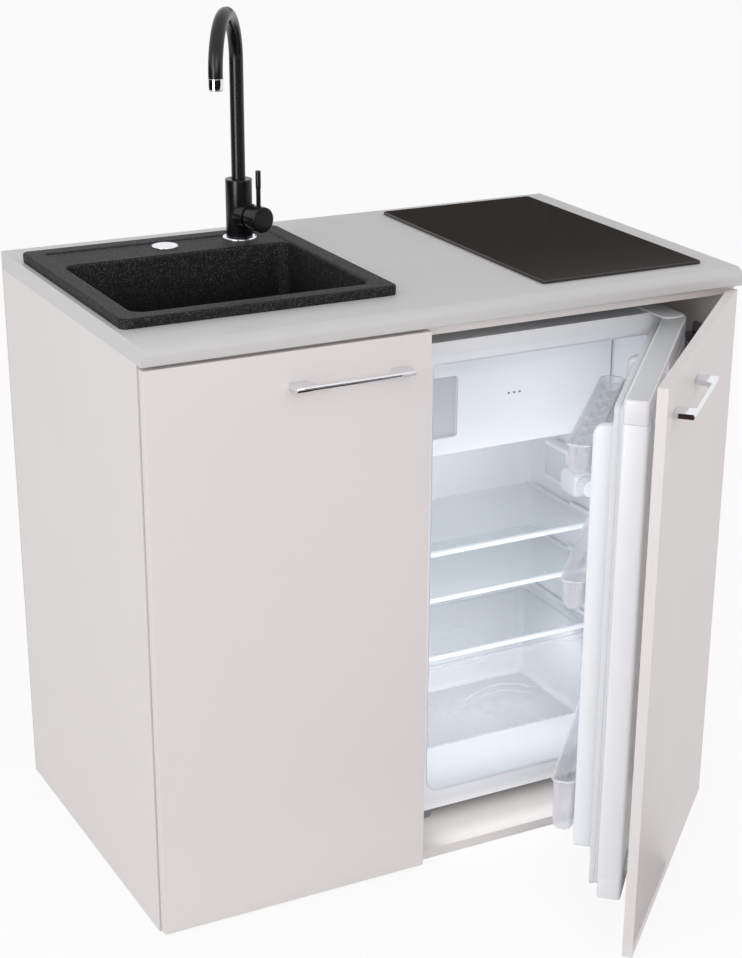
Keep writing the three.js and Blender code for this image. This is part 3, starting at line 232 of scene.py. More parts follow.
def mottle_group():
    """Fine grain over slow clouds: colour moves between two tones, roughness by a small spread."""
    group = bpy.data.node_groups.new("mottle", "ShaderNodeTree")
    for way, kind, names in (
        ("INPUT", "Vector", ["Vector"]), ("INPUT", "Color", ["Colour", "Second colour"]),
        ("INPUT", "Float", ["Grain scale", "Cloud scale", "Roughness", "Spread"]),
        ("OUTPUT", "Color", ["Colour"]), ("OUTPUT", "Float", ["Roughness", "Height"]),
    ):
        for name in names:
            group.interface.new_socket(name, in_out=way, socket_type="NodeSocket" + kind)
    entry, leave = group.nodes.new("NodeGroupInput").outputs, group.nodes.new("NodeGroupOutput")
    tree = Tree(group)
    grain = tree.noise(entry["Vector"], entry["Grain scale"], 2.0)
    clouds = tree.noise(entry["Vector"], entry["Cloud scale"], 3.0)
    blend = tree.math("MULTIPLY", tree.math("ADD", grain, clouds), 0.5)
    drift = tree.math("MULTIPLY", tree.math("SUBTRACT", blend, 0.5), entry["Spread"])
    tree.fill(leave, {
        "Colour": tree.mix(blend, entry["Colour"], entry["Second colour"]),
        "Roughness": tree.math("ADD", entry["Roughness"], drift), "Height": grain,
    })
    return group


mottle = mottle_group()


def mottled_finish(name, colour, second, grain, clouds, roughness, spread, bump, specular=0.5, metal=0.0,
                   stretch=(1, 1, 1)):
    """A finish whose whole surface is one mottle; bump is the grain's height in metres."""
    material, tree, shader = new_finish(name, specular, metal)
    mapping = tree.add("Mapping", {"Scale": stretch, "Vector": tree.object_place()})
    pattern = tree.add("Group", {})
    pattern.node_tree = mottle
    tree.fill(pattern, {
        "Vector": mapping.outputs[0], "Colour": srgb(*colour), "Second colour": srgb(*second),
        "Grain scale": grain, "Cloud scale": clouds, "Roughness": roughness, "Spread": spread,
    })
    tree.fill(shader, {"Base Color": pattern.outputs["Colour"], "Roughness": pattern.outputs["Roughness"]})
    tree.bump(shader, pattern.outputs["Height"], bump)
    return material


def dress(material, *nodes):
    """Gives CAD pieces that keep their own mesh a finish."""
    for node in nodes:
        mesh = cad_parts[node].data
        mesh.materials.clear()
        mesh.materials.append(material)


melamine = mottled_finish("melamine", (225, 219, 216), (219, 213, 210), 1400.0, 5.0, 0.42, 0.12, 0.00004, 0.4)
hardboard = mottled_finish("hardboard", (205, 196, 184), (186, 175, 160), 700.0, 9.0, 0.7, 0.15, 0.00008)
dress(melamine, "left_side_panel", "right_side_panel", "bottom_panel", "centre_partition", "front_rail",
      "rear_rail", "left_door", "right_door")
dress(hardboard, "back_panel")

# ---- Worktop --------------------------------------------------------------------------------
# Chipboard under a grey laminate that is rolled over the front edge, with square ends and back.
# The sink and the hob drop into openings sawn through it.


def box(node):
    """The low and the high corner of a CAD node."""
    return [np.array(corner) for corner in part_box(node)]


def arc(centre, radius, start, end, count):
    """Points on a circle, centre + radius (cos a, sin a), in even steps of a."""
    angle = np.linspace(start, end, count)
    return np.array(centre) + radius * np.stack([np.cos(angle), np.sin(angle)], -1)


def rounded_loop(x, y, radius, draw=0.0, corner_steps=8, side_steps=(1, 1, 1, 1)):
    """A rectangle over two spans, drawn in by draw, with round corners, anticlockwise from the lower
    right one: four quarter circles, each followed by a straight side in even steps. The radius is one
    number or one for each corner."""
    r = np.broadcast_to(radius, 4)
    (x0, x1), (y0, y1) = (x[0] + draw, x[1] - draw), (y[0] + draw, y[1] - draw)
    centres = (x1 - r[0], y0 + r[0]), (x1 - r[1], y1 - r[1]), (x0 + r[2], y1 - r[2]), (x0 + r[3], y0 + r[3])
    arcs = [arc(centre, r[quarter], (quarter - 1) * math.pi / 2, quarter * math.pi / 2, corner_steps + 1)
            for quarter, centre in enumerate(centres)]
    pieces = []
    for quarter, steps in enumerate(side_steps):
        share = np.linspace(0, 1, steps + 1)[1:-1, None]
        start, end = arcs[quarter][-1], arcs[(quarter + 1) % 4][0]
        pieces += [arcs[quarter], start + share * (end - start)]
    return np.concatenate(pieces)


def at_level(loop, level, axis=2):
    """A flat loop in space: the axis that it lacks gets the level."""
    return np.insert(loop, axis, level, axis=1)


def shaped(name, shells):
    """One mesh of closed shells. A shell is (grid, wraps): grid[i, j] is ring i's point j, each ring
    closes on itself, and the rings close on each other where wraps, or else end in flat caps."""
    points, faces, first = [], [], 0
    for grid, wraps in shells:
        rings, around = grid.shape[:2]
        i = np.arange(rings if wraps else rings - 1)[:, None]
        j = np.arange(around)[None, :]
        next_i, next_j = (i + 1) % rings * around, (j + 1) % around
        quads = np.stack([i * around + j, i * around + next_j, next_i + next_j, next_i + j], -1)
        faces += (quads.reshape(-1, 4) + first).tolist()
        if not wraps:
            last = first + (rings - 1) * around
            faces += [list(range(first, first + around))[::-1], list(range(last, last + around))]
        points.append(grid.reshape(-1, 3))
        first += rings * around
    mesh = bpy.data.meshes.new(name)
    mesh.from_pydata(np.concatenate(points).tolist(), [], faces)
    shape = bmesh.new()
    shape.from_mesh(mesh)
    bmesh.ops.remove_doubles(shape, verts=shape.verts, dist=1e-7)
    bmesh.ops.recalc_face_normals(shape, faces=shape.faces)
    shape.to_mesh(mesh)
    shape.free()
    return placed(name, mesh)


def soften(whole, sharp):
    """Smooth shading, broken where faces meet at more than sharp degrees."""
    whole.data.polygons.foreach_set("use_smooth", np.ones(len(whole.data.polygons), dtype=bool))
    whole.data.set_sharp_from_angle(angle=math.radians(sharp))


def piece(name, shells, material, node=None, body="cabinet", sharp=32.0):
    """A finished piece: its shells, material and slot, the CAD node it stands for and the body it rides on."""
    whole = shaped(name, shells)
    soften(whole, sharp)
    whole.data.materials.append(material)
    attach(whole, body)
    if node:
        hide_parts(node)
    return whole


def carve(whole, *shells):
    """Takes shells out of a piece."""
    cutters = [shaped("cutter", [shell]) for shell in shells]
    for cutter in cutters:
        step = whole.modifiers.new("carve", "BOOLEAN")
        step.operation, step.solver, step.object = "DIFFERENCE", "EXACT", cutter
    graph = bpy.context.evaluated_depsgraph_get()
    carved = bpy.data.meshes.new_from_object(whole.evaluated_get(graph), depsgraph=graph)
    whole.modifiers.clear()
    whole.data = carved
    soften(whole, 32.0)
    for cutter in cutters:
        bpy.data.objects.remove(cutter)


def slab_shell(low, high, corner, edge, axis=2, steps=4, corner_steps=8):
    """A plate with plan corners of radius corner and edges of radius edge: a rounded loop drawn in by
    edge (1 - sin a) and risen by edge (1 - cos a) at the bottom, and the same in mirror at the top.
    axis is the one that its thickness runs along."""
    x, y = np.delete([low, high], axis, 1).T
    angle = np.linspace(0, math.pi / 2, steps + 1)
    inset, rise = edge * (1 - np.sin(angle)), edge * (1 - np.cos(angle))
    levels = np.concatenate([low[axis] + rise, high[axis] - rise[::-1]])
    return np.array([
        at_level(rounded_loop(x, y, max(corner - draw, 1e-5), draw, corner_steps), level, axis)
        for level, draw in zip(levels, [*inset, *inset[::-1]])
    ]), False


laminate = mottled_finish("laminate", (206, 204, 202), (197, 195, 193), 520.0, 7.0, 0.40, 0.16, 0.00005, 0.6,
                          stretch=(0.35, 1, 1))
worktop_low, worktop_high = box("worktop")
nose_radius, heel_radius = 0.016, 0.003
worktop_outline = np.concatenate([
    [(worktop_high[1], worktop_low[2]), (worktop_high[1], worktop_high[2])],
    arc((worktop_low[1] + nose_radius, worktop_high[2] - nose_radius), nose_radius, math.pi / 2, math.pi, 17),
    arc(worktop_low[1:] + heel_radius, heel_radius, math.pi, 1.5 * math.pi, 5),
])
worktop_grid = np.array([at_level(worktop_outline, x, 0) for x in (worktop_low[0], worktop_high[0])])
worktop = piece("worktop_laminate", [(worktop_grid, False)], laminate, "worktop")

sink_low, sink_high = box("sink")
hob_low, hob_high = box("hob_glass")
casing_low, casing_high = box("hob_casing")
sink_lip, hob_room, saw_past = 0.010, 0.003, 0.05
carve(worktop, *(
    slab_shell((*(low[:2] - wider), worktop_low[2] - saw_past), (*(high[:2] + wider), worktop_high[2] + saw_past),
               corner, 0.0001)
    for low, high, wider, corner in (
        (sink_low, sink_high, -sink_lip, 0.012), (casing_low, casing_high, hob_room, 0.003))
))

# ---- Sink -----------------------------------------------------------------------------------
# One casting of quartz grit in dark resin: a square rim with rounded edges, a tap deck 2 mm lower
# behind the bowl, a deep bowl with round corners, and a waste hole in its floor.

bowl_low = np.array([-0.462, -0.178, 0.750])
bowl_high = np.array([-0.090, 0.116, sink_high[2]])
bowl_centre = (bowl_low[:2] + bowl_high[:2]) / 2
deck_span = (-0.464, -0.087)
deck_rear, deck_drop = 0.196, 0.002
rim_edge, rim_corner, mouth_edge = 0.0035, 0.012, 0.005
bowl_corner, floor_corner, bowl_taper = 0.020, 0.012, 0.0015
bowl_wall, waste_hole = 0.008, 0.045
worktop_top = worktop_high[2]


def speckle_finish():
    """Dark resin with paler and darker grit, dots of about a millimetre. Painted shade darkens it down the bowl."""
    material, tree, shader = new_finish("composite", 0.15)
    place = tree.object_place()
    grit = tree.add("TexVoronoi", {"Scale": 1100.0, "Vector": place}).outputs
    lot = tree.add("SeparateColor", {"Color": grit["Color"]}).outputs
    pale = tree.math("MULTIPLY", tree.math("GREATER_THAN", lot[0], 0.86), 0.50)
    dark = tree.math("MULTIPLY", tree.math("LESS_THAN", lot[0], 0.30), 0.55)
    base = tree.mix(tree.noise(place, 9.0, 3.0), srgb(31, 30, 32), srgb(26, 25, 27))
    coloured = tree.mix(pale, tree.mix(dark, base, srgb(24, 23, 25)), srgb(112, 108, 108))
    # Painted shade: from just under the worktop's top to 7 cm down, the colour goes seven tenths of the way to
    # near-black.
    bowl_shade = tree.add("MapRange", {
        "Value": tree.add("SeparateXYZ", {0: place}).outputs["Z"], "From Min": worktop_top - 0.004,
        "From Max": worktop_top - 0.07, "To Min": 0.0, "To Max": 0.7,
    })
    tree.fill(shader, {
        "Base Color": tree.mix(bowl_shade.outputs["Result"], coloured, srgb(9, 9, 9)),
        "Roughness": tree.math("ADD", tree.math("MULTIPLY", lot[1], 0.16), 0.46),
    })
    tree.bump(shader, grit["Distance"], 0.00012)
    return material


def sink_loop(low, high, draw, corner):
    """An outline of the sink or its bowl drawn in by draw, or out where draw is negative."""
    return rounded_loop((low[0], high[0]), (low[1], high[1]), corner, draw, 12, (30, 140, 30, 12))


def ease(value):
    """0 below 0, 1 above 1, and 3 v^2 - 2 v^3 between."""
    v = np.clip(value, 0, 1)
    return v * v * (3 - 2 * v)


def deck_depth(loop):
    """How far a point of the top lies below the rim: 2 mm on the deck, with 3.5 mm wide slopes round it."""
    slope = 0.0035
    x, y = loop.T
    within = ease((x - deck_span[0]) / slope) * ease((deck_span[1] - x) / slope)
    behind_bowl = ease((y - (bowl_high[1] - 0.012)) / 0.006)
    return deck_drop * within * behind_bowl * ease((deck_rear - y) / slope)


def sink_grid():
    """Rings from the rim's foot over the rim, the deck and the mouth, down the bowl, through the waste
    hole and back along the underside."""
    def rim(draw):
        return sink_loop(sink_low, sink_high, draw, rim_corner - draw)

    def bowl(draw, corner):
        return sink_loop(bowl_low, bowl_high, draw, corner)

    quarter = np.linspace(0, math.pi / 2, 7)
    rings = [at_level(rim(0.0006), worktop_top)]
    rings += [at_level(rim(rim_edge * (1 - np.cos(a))), sink_high[2] - rim_edge * (1 - np.sin(a))) for a in quarter]
    outer, mouth = rim(rim_edge), bowl(-mouth_edge, bowl_corner + mouth_edge)
    for share in np.linspace(0, 1, 92)[1:]:
        loop = outer + share * (mouth - outer)
        rings.append(at_level(loop, sink_high[2] - deck_depth(loop)))
    lip_top = sink_high[2] - deck_depth(mouth)
    for a in quarter[1:]:
        draw = -mouth_edge * (1 - np.sin(a))
        rings.append(at_level(bowl(draw, bowl_corner - draw), lip_top - mouth_edge * (1 - np.cos(a))))
    rings.append(at_level(bowl(bowl_taper, bowl_corner), bowl_low[2] + floor_corner))
    for a in quarter[1:]:
        draw = bowl_taper + floor_corner * (1 - np.cos(a))
        last = bowl(draw, bowl_corner + floor_corner * np.sin(a))
        rings.append(at_level(last, bowl_low[2] + floor_corner * (1 - np.sin(a))))
    direction = last - bowl_centre
    circle = bowl_centre + waste_hole * direction / np.linalg.norm(direction, axis=1)[:, None]
    rings += [at_level(last + share * (circle - last), bowl_low[2]) for share in (0.35, 0.7, 1.0)]
    rings.append(at_level(circle, bowl_low[2] - bowl_wall))
    under = bowl(-bowl_wall, bowl_corner + bowl_wall)
    rings += [at_level(under, z) for z in (bowl_low[2] - bowl_wall, worktop_top)]
    return np.array(rings)


composite = speckle_finish()
piece("sink_casting", [(sink_grid(), True)], composite, "sink", sharp=40)

# ---- Waste, strainer and trap ---------------------------------------------------------------
# A pressed steel waste is clamped through the bowl's floor, with a basket that lifts out, over a
# grey plastic pipe trap whose outlet runs back to the wall.


def rounded_profile(corners, radius, steps=4):
    """A profile whose inner corners are each replaced by a parabola that starts and ends radius away."""
    corners = np.array(corners, float)
    points = [corners[0]]
    for before, corner, after in zip(corners[:-2], corners[1:-1], corners[2:]):
        back, ahead = before - corner, after - corner
        reach = min(radius, 0.45 * np.linalg.norm(back), 0.45 * np.linalg.norm(ahead))
        start = corner + reach * back / np.linalg.norm(back)
        end = corner + reach * ahead / np.linalg.norm(ahead)
        for t in np.linspace(0, 1, steps + 1):
            points.append((1 - t) ** 2 * start + 2 * t * (1 - t) * corner + t * t * end)
    return np.array([*points, corners[-1]])


def turned_shell(profile, origin, axis=(0, 0, 1), around=96, rounding=0.0, flutes=0, flute_depth=0.0):
    """A profile of (radius, distance along the axis), its corners rounded, turned about it:
    origin + distance axis + radius (cos a side + sin a up), with cosine flutes on request."""
    profile = rounded_profile(profile, rounding) if rounding else np.array(profile)
    axis = np.array(axis, float) / np.linalg.norm(axis)
    side = np.cross(axis, (0, 0, 1)) if abs(axis[2]) < 0.9 else np.array([1.0, 0, 0])
    side /= np.linalg.norm(side)
    angle = np.linspace(0, 2 * math.pi, around, endpoint=False)[:, None]
    ring = np.cos(angle) * side + np.sin(angle) * np.cross(axis, side)
    ripple = 1 - flute_depth * (0.5 - 0.5 * np.cos(flutes * angle))
    radius, distance = profile[:, :1, None], profile[:, 1:, None]
    return np.array(origin, float) + distance * axis + radius * ripple * ring, True


steel = mottled_finish("brushed_steel", (196, 196, 198), (178, 178, 181), 1500.0, 30.0, 0.26, 0.16, 0.00002,
                       metal=1.0, stretch=(1, 1, 0.06))
cup_floor = 0.700
waste_low, flange_top = (corner[2] for corner in box("sink_waste"))
bowl_middle = (*bowl_centre, 0)
piece("waste_pressing", [turned_shell(
    [(0.017, waste_low), (0.020, waste_low), (0.020, cup_floor), (0.0435, cup_floor), (0.0435, bowl_low[2]),
     (0.056, bowl_low[2]), (0.056, flange_top), (0.041, flange_top), (0.041, cup_floor + 0.0025),
     (0.017, cup_floor + 0.0025), (0.017, waste_low)], bowl_middle, rounding=0.002)], steel, "sink_waste")

basket_top = box("waste_basket")[1][2]
basket_floor = cup_floor + 0.007
piece("basket_pressing", [turned_shell(
    [(0.0, basket_floor), (0.036, basket_floor), (0.038, basket_floor + 0.005), (0.038, flange_top),
     (0.046, flange_top), (0.046, basket_top), (0.0365, basket_top), (0.0365, basket_floor + 0.006),
     (0.0345, basket_floor + 0.0015), (0.003, basket_floor + 0.0015), (0.003, 0.742), (0.008, 0.744),
     (0.008, 0.748), (0.0, 0.750)], bowl_middle, rounding=0.0012)], steel, "waste_basket", "strainer")


def swept_shell(route, radius, plane, around=48, bore=0.0):
    """A tube along a flat route: route + radius (cos a across + sin a plane), across being square to
    the route's direction. A bore turns the rings back inside."""
    route, plane = np.array(route, float), np.array(plane, float)
    heading = np.gradient(route, axis=0)
    heading /= np.linalg.norm(heading, axis=1)[:, None]
    angle = np.linspace(0, 2 * math.pi, around, endpoint=False)[None, :, None]
    ring = np.cos(angle) * np.cross(plane, heading)[:, None] + np.sin(angle) * plane
    outside = route[:, None] + radius * ring
    if not bore:
        return outside, False
    return np.concatenate([outside, route[::-1, None] + bore * ring[::-1]]), True


pipe_plastic = mottled_finish("pipe_plastic", (214, 214, 212), (204, 204, 202), 600.0, 8.0, 0.42, 0.1, 0.00003)
trap_x, trap_y = bowl_centre
leg_bottom, trap_radius, rise_radius, trap_rise = 0.560, 0.045, 0.040, 0.040
board_back = box("back_panel")[0][1]
riser_y = trap_y + 2 * trap_radius
bend_y, bend_z = riser_y + rise_radius, leg_bottom + trap_rise
outlet_z = bend_z + rise_radius
trap_yz = np.concatenate([
    [(trap_y, waste_low), (trap_y, (waste_low + leg_bottom) / 2)],
    arc((trap_y + trap_radius, leg_bottom), trap_radius, math.pi, 2 * math.pi, 33),
    arc((bend_y, bend_z), rise_radius, math.pi, math.pi / 2, 17),
    [((bend_y + board_back) / 2, outlet_z), (board_back, outlet_z)],
])
waste_nut = [(0.0185, 0.6415), (0.027, 0.6415), (0.027, 0.6685), (0.0203, 0.6685), (0.0203, 0.648),
             (0.0185, 0.648), (0.0185, 0.6415)]
elbow_nut = [(0.0203, 0.0), (0.026, 0.0), (0.026, 0.024), (0.0203, 0.024), (0.0203, 0.0)]
trap_nuts = [
    turned_shell(profile, origin, axis, rounding=0.0015, flutes=24, flute_depth=0.04)
    for profile, origin, axis in (
        (waste_nut, bowl_middle, (0, 0, 1)), (elbow_nut, (trap_x, riser_y, leg_bottom + 0.008), (0, 0, 1)),
        (elbow_nut, (trap_x, bend_y + 0.01, outlet_z), (0, 1, 0)))
]
trap_pipe = swept_shell(at_level(trap_yz, trap_x, 0), 0.020, (1, 0, 0), bore=0.017)
piece("trap_pipes", [trap_pipe, *trap_nuts], pipe_plastic, "trap")

# ---- Tap ------------------------------------------------------------------------------------
# A brass tap with a matt black powder coat: a turned body on a chromed ring, a bent tube spout that
# swivels on it, a chromed aerator, and a side mixer whose cap and pin lever ride on a ball.

black_coat = mottled_finish("black_coat", (16, 16, 17), (12, 12, 13), 1100.0, 40.0, 0.25, 0.08, 0.00002, 0.4)
chrome = mottled_finish("chrome", (238, 240, 244), (226, 228, 233), 260.0, 24.0, 0.07, 0.08, 0.000004, metal=1.0)
upright = np.array([0.0, 0.0, 1.0])
ring_low, ring_high = box("tap_base_ring")
tap_axis = (ring_low + ring_high) / 2 * (1, 1, 0)
deck_top, body_bottom = ring_low[2], ring_high[2]
body_top = body_bottom + 0.0915
piece("base_ring", [turned_shell(
    [(0.0143, deck_top), (0.0275, deck_top), (0.0272, deck_top + 0.0036), (0.0252, body_bottom),
     (0.0143, body_bottom), (0.0143, deck_top)], tap_axis, rounding=0.0007)], chrome, "tap_base_ring")
cover_low, cover_high = box("tap_hole_cover")
piece("deck_cover", [turned_shell(
    [(0.0, cover_low[2]), (0.015, cover_low[2]), (0.015, deck_top), (0.021, deck_top), (0.021, deck_top + 0.0018),
     (0.019, cover_high[2] - 0.0003), (0.010, cover_high[2]), (0.0, cover_high[2])],
    (cover_low + cover_high) / 2 * (1, 1, 0), rounding=0.0012)], chrome, "tap_hole_cover")
nut_bottom, nut_top = (corner[2] for corner in box("tap_shank_nut"))
piece("shank_nut", [turned_shell(
    [(0.0143, nut_bottom), (0.025, nut_bottom), (0.025, nut_top), (0.0143, nut_top), (0.0143, nut_bottom)],
    tap_axis, around=6, rounding=0.001)], steel, "tap_shank_nut")

mixer_heading = math.radians(-76)
mixer_axis = np.array([math.cos(mixer_heading), math.sin(mixer_heading), 0.0])
mixer_origin = tap_axis + (0, 0, deck_top + 0.040)
collar_radius, collar_length = 0.0203, 0.030
body_shell = turned_shell(
    [(0.0, deck_top - 0.033), (0.014, deck_top - 0.033), (0.014, body_bottom), (0.02125, body_bottom),
     (0.02125, body_top), (0.0125, body_top), (0.0115, body_top - 0.001), (0.0074, body_top - 0.001),
     (0.0074, body_top + 0.015), (0.0, body_top + 0.015)], tap_axis, rounding=0.0011)
collar_shell = turned_shell(
    [(0.0, 0.002), (collar_radius, 0.002), (collar_radius, collar_length), (0.0153, collar_length),
     (0.0153, 0.018), (0.0, 0.018)], mixer_origin, mixer_axis, rounding=0.0007)
piece("tap_body_turning", [body_shell, collar_shell], black_coat, "tap_body")

spout_heading = math.radians(-125)
spout_out = np.array([math.cos(spout_heading), math.sin(spout_heading), 0.0])
arch_radius, spout_rise, spout_drop = 0.078, 0.184, 0.004
arch_z = body_top + spout_rise
arch = arc((arch_radius, arch_z), arch_radius, math.pi, 0, 73) @ [spout_out, upright] + tap_axis
riser = tap_axis + np.linspace(body_top, arch_z - 0.002, 12)[:, None] * upright
spout_route = np.concatenate([riser, arch, [arch[-1] - spout_drop * upright]])
piece("spout_tube", [swept_shell(spout_route, 0.011, np.cross(spout_out, upright), 64, 0.008)], black_coat,
      "tap_spout", "spout")
tip_low, tip_high = box("tap_aerator")
tip_bottom = tip_low[2]
piece("aerator", [turned_shell(
    [(0.0, tip_bottom + 0.003), (0.0088, tip_bottom + 0.003), (0.0088, tip_bottom), (0.0112, tip_bottom),
     (0.0112, tip_bottom + 0.0012), (0.0115, tip_bottom + 0.0018), (0.0115, tip_high[2]), (0.0, tip_high[2])],
    (tip_low + tip_high) / 2 * (1, 1, 0), rounding=0.0005)], chrome, "tap_aerator", "spout")

ball_centre, ball_radius = 0.034, 0.0183
ball_face = collar_length + 0.0003
dome = arc((0, ball_centre), ball_radius, math.asin((ball_face - ball_centre) / ball_radius), math.pi / 2, 24)
dome[-1, 0] = 0.0
ball_profile = np.concatenate([[(0.0, 0.0183), (0.015, 0.0183), (0.015, ball_face)], dome])
piece("mixer_ball_turning", [turned_shell(ball_profile, mixer_origin, mixer_axis)], black_coat,
      "mixer_ball", "mixer")
socket_radius = ball_radius + 0.0004
cap_start, cap_end = 0.038, 0.062
socket = arc((0, ball_centre), socket_radius, math.pi / 2, math.asin((cap_start - ball_centre) / socket_radius), 20)
socket[0, 0] = 0.0
cap_rim = rounded_profile([socket[-1], (collar_radius, cap_start), (collar_radius, cap_end), (0.0, cap_end)], 0.0014)
cap_shell = turned_shell(np.concatenate([cap_rim, socket]), mixer_origin, mixer_axis)
lever_top = collar_radius + 0.056
lever_shell = turned_shell(
    [(0.0, socket_radius), (0.0036, socket_radius), (0.0036, 0.048), (0.0042, 0.0495), (0.0042, lever_top),
     (0.0, lever_top)], mixer_origin + 0.050 * mixer_axis, around=48, rounding=0.0006)
piece("mixer_cap_and_lever", [cap_shell, lever_shell], black_coat, "mixer_handle", "mixer_lever")

# ---- Hob ------------------------------------------------------------------------------------
# Black glass ceramic with a ground edge, bonded to a galvanised tray that hangs through the
# worktop, with two dished heating elements pressed up under it.

hob_glass = mottled_finish("hob_glass", (51, 48, 45), (47, 44, 41), 30.0, 7.0, 0.08, 0.01, 0.0, 0.4)
galvanised = mottled_finish("galvanised", (176, 178, 180), (150, 153, 156), 90.0, 12.0, 0.38, 0.2, 0.00002, metal=1.0)
insulation = mottled_finish("insulation", (150, 146, 140), (128, 122, 116), 420.0, 20.0, 0.9, 0.1, 0.0003)
piece("hob_plate", [slab_shell(hob_low, hob_high, 0.006, 0.0014, steps=3)], hob_glass, "hob_glass",
      sharp=8)
dress(galvanised, "hob_casing")
dress(insulation, "hob_element_front", "hob_element_rear")

# ---- Furniture doors: handles and hinges ----------------------------------------------------
# Each door carries a chromed zinc bow handle on two wedge feet. It turns on two concealed hinges:
# a cup let into its back, and an arm on a plate screwed to the side board.

door_axis = np.array([0.496, -0.303, 0.0])
door_turn = math.radians(43.5)


def swung(shells, axis, turn):
    """Shells of a closed door as it stands open: turned about its upright axis."""
    c, s = math.cos(turn), math.sin(turn)
    spin = np.array([[c, s, 0], [-s, c, 0], [0, 0, 1]])
    return [((grid - axis) @ spin + axis, wraps) for grid, wraps in shells]


def handle_shell(x0):
    """A rounded bar section carried along X: its front runs straight and is crowned over its height, and
    its back runs from the foot in a smooth wedge to the bar's own thickness."""
    length, height, bar, foot, edge = 0.188, 0.0075, 0.0048, 0.026, 0.0007
    foot_y, front_y, z = -0.2978, -0.3275, 0.8425
    bend_length, crown, end_round, end_setback = 0.014, 0.0013, 0.0012, 0.0008
    half = np.concatenate([[0, 0.0004, end_round, foot - 0.0001], foot + bend_length * np.linspace(0, 1, 20)])
    stations = np.concatenate([half, length - half[::-1]])
    from_end = np.minimum(stations, length - stations)
    curve = np.clip((from_end - foot) / bend_length, 0, 1)
    reach = foot_y - front_y
    depth = np.where(from_end <= foot, reach, bar + (reach - bar) * (1 - curve) ** 2)
    front_round = np.clip(1 - from_end / end_round, 0, 1) ** 2 * end_setback
    rings = []
    for station, near, far in zip(stations, front_y + front_round, front_y + depth):
        loop = rounded_loop((near, far), (z - height / 2, z + height / 2), edge, 0.0, 4, (1, 1, 9, 1))
        near_front = np.clip(1 - (loop[:, 0] - front_y) / (bar * 0.6), 0, 1)
        loop[:, 0] += crown * near_front * ((loop[:, 1] - z) / (height / 2)) ** 2
        rings.append(at_level(loop, x0 + station, 0))
    return np.array(rings), False


piece("left_bow_handle", [handle_shell(-0.2816)], chrome, "left_handle", "left_door", 28)
piece("right_bow_handle", swung([handle_shell(-0.0084)], door_axis, door_turn), chrome, "right_handle",
      "right_door", 28)

cup_profile = [(0.0, 0.0), (0.0175, 0.0), (0.0175, 0.013), (0.016, 0.013), (0.016, 0.0015), (0.0, 0.0015)]
screw_profile = [(0.0, 0.0), (0.0032, 0.0), (0.0032, 0.0006), (0.0, 0.0014)]
adjuster_profile = [(0.0, 0.0), (0.0028, 0.0), (0.0028, 0.0004), (0.0, 0.0004)]
door_back = -0.2815
for side, sign, turn in (("left", -1, 0.0), ("right", 1, door_turn)):
    cup_x = sign * 0.4755
    for level, z in (("upper", 0.795), ("lower", 0.100)):
        cup = turned_shell(cup_profile, (cup_x, door_back - 0.0115, z), (0, 1, 0), 72, 0.001)
        ears = slab_shell((cup_x - 0.007, door_back + 0.0003, z - 0.026),
                          (cup_x + 0.007, door_back + 0.0015, z + 0.026), 0.006, 0.0003, axis=1)
        piece(f"{side}_{level}_cup", swung([cup, ears], door_axis * (sign, 1, 1), turn), steel,
              f"{side}_{level}_hinge_cup", f"{side}_door")
        arm_low, arm_high = box(f"{side}_{level}_hinge_arm")
        near_y, far_y = arm_low[1], arm_high[1]
        wall = arm_high[0] if sign > 0 else arm_low[0]
        arm_x = sorted((wall - sign * 0.0022, wall - sign * 0.020))
        plate_x = sorted((wall, wall - sign * 0.004))
        arm = slab_shell((arm_x[0], near_y, z - 0.008), (arm_x[1], far_y, z + 0.008), 0.003, 0.0012)
        plate = slab_shell((plate_x[0], far_y - 0.040, z - 0.025), (plate_x[1], far_y, z + 0.025), 0.006, 0.001,
                           axis=0)
        heads = [
            turned_shell(profile, (wall - sign * depth, y, z + rise), (-sign, 0, 0), 32)
            for profile, depth, y, rise in (
                (screw_profile, 0.004, far_y - 0.020, -0.017), (screw_profile, 0.004, far_y - 0.020, 0.017),
                (adjuster_profile, 0.0196, near_y + 0.022, 0.0), (adjuster_profile, 0.0196, near_y + 0.050, 0.0))
        ]
        piece(f"{side}_{level}_arm", [arm, plate, *heads], steel, f"{side}_{level}_hinge_arm")

# ---- Refrigerator casing and liner ----------------------------------------------------------
# A white lacquered steel casing round a vacuum-formed white liner. The liner's flange laps the
# casing's front, and ledges formed in its sides carry the shelves.

enamel = mottled_finish("enamel", (242, 243, 244), (238, 239, 241), 500.0, 6.0, 0.28, 0.06, 0.00001)
white_plastic = mottled_finish("liner_plastic", (243, 245, 248), (239, 242, 246), 300.0, 5.0, 0.3, 0.06, 0.00001)
dress(enamel, "fridge_casing", "fridge_lower_hinge")

liner_x, liner_z = (-0.005, 0.387), (0.0905, 0.812)
liner_back, liner_skin = 0.120, 0.003
liner_front = box("fridge_casing")[0][1]


def liner_grid():
    """Rings from the outer back forward to the flange, round into the opening, back along the walls and
    round into the rear wall, each as (how far drawn in, corner radius, Y)."""
    corner = np.array([0.020, 0.005, 0.005, 0.020])
    lip_radius, rear_radius, flange, flange_corner, proud = 0.006, 0.030, 0.018, 0.006, 0.0006
    rings = [
        (-liner_skin, corner + liner_skin, liner_back + liner_skin), (-liner_skin, corner + liner_skin, liner_front),
        (-flange, flange_corner, liner_front), (-flange, flange_corner, liner_front - proud / 2),
        (-flange + 0.0004, flange_corner, liner_front - proud),
    ]
    quarter = np.linspace(0, math.pi / 2, 8)
    for a in quarter:
        draw = -lip_radius * (1 - math.sin(a))
        rings.append((draw, corner - draw, liner_front - proud + lip_radius * (1 - math.cos(a))))
    for a in quarter:
        draw = rear_radius * (1 - math.cos(a))
        rings.append((draw, np.maximum(corner - draw, 0.002), liner_back - rear_radius * (1 - math.sin(a))))
    return np.array([at_level(rounded_loop(liner_x, liner_z, radius, draw, 10), y, 1) for draw, radius, y in rings])


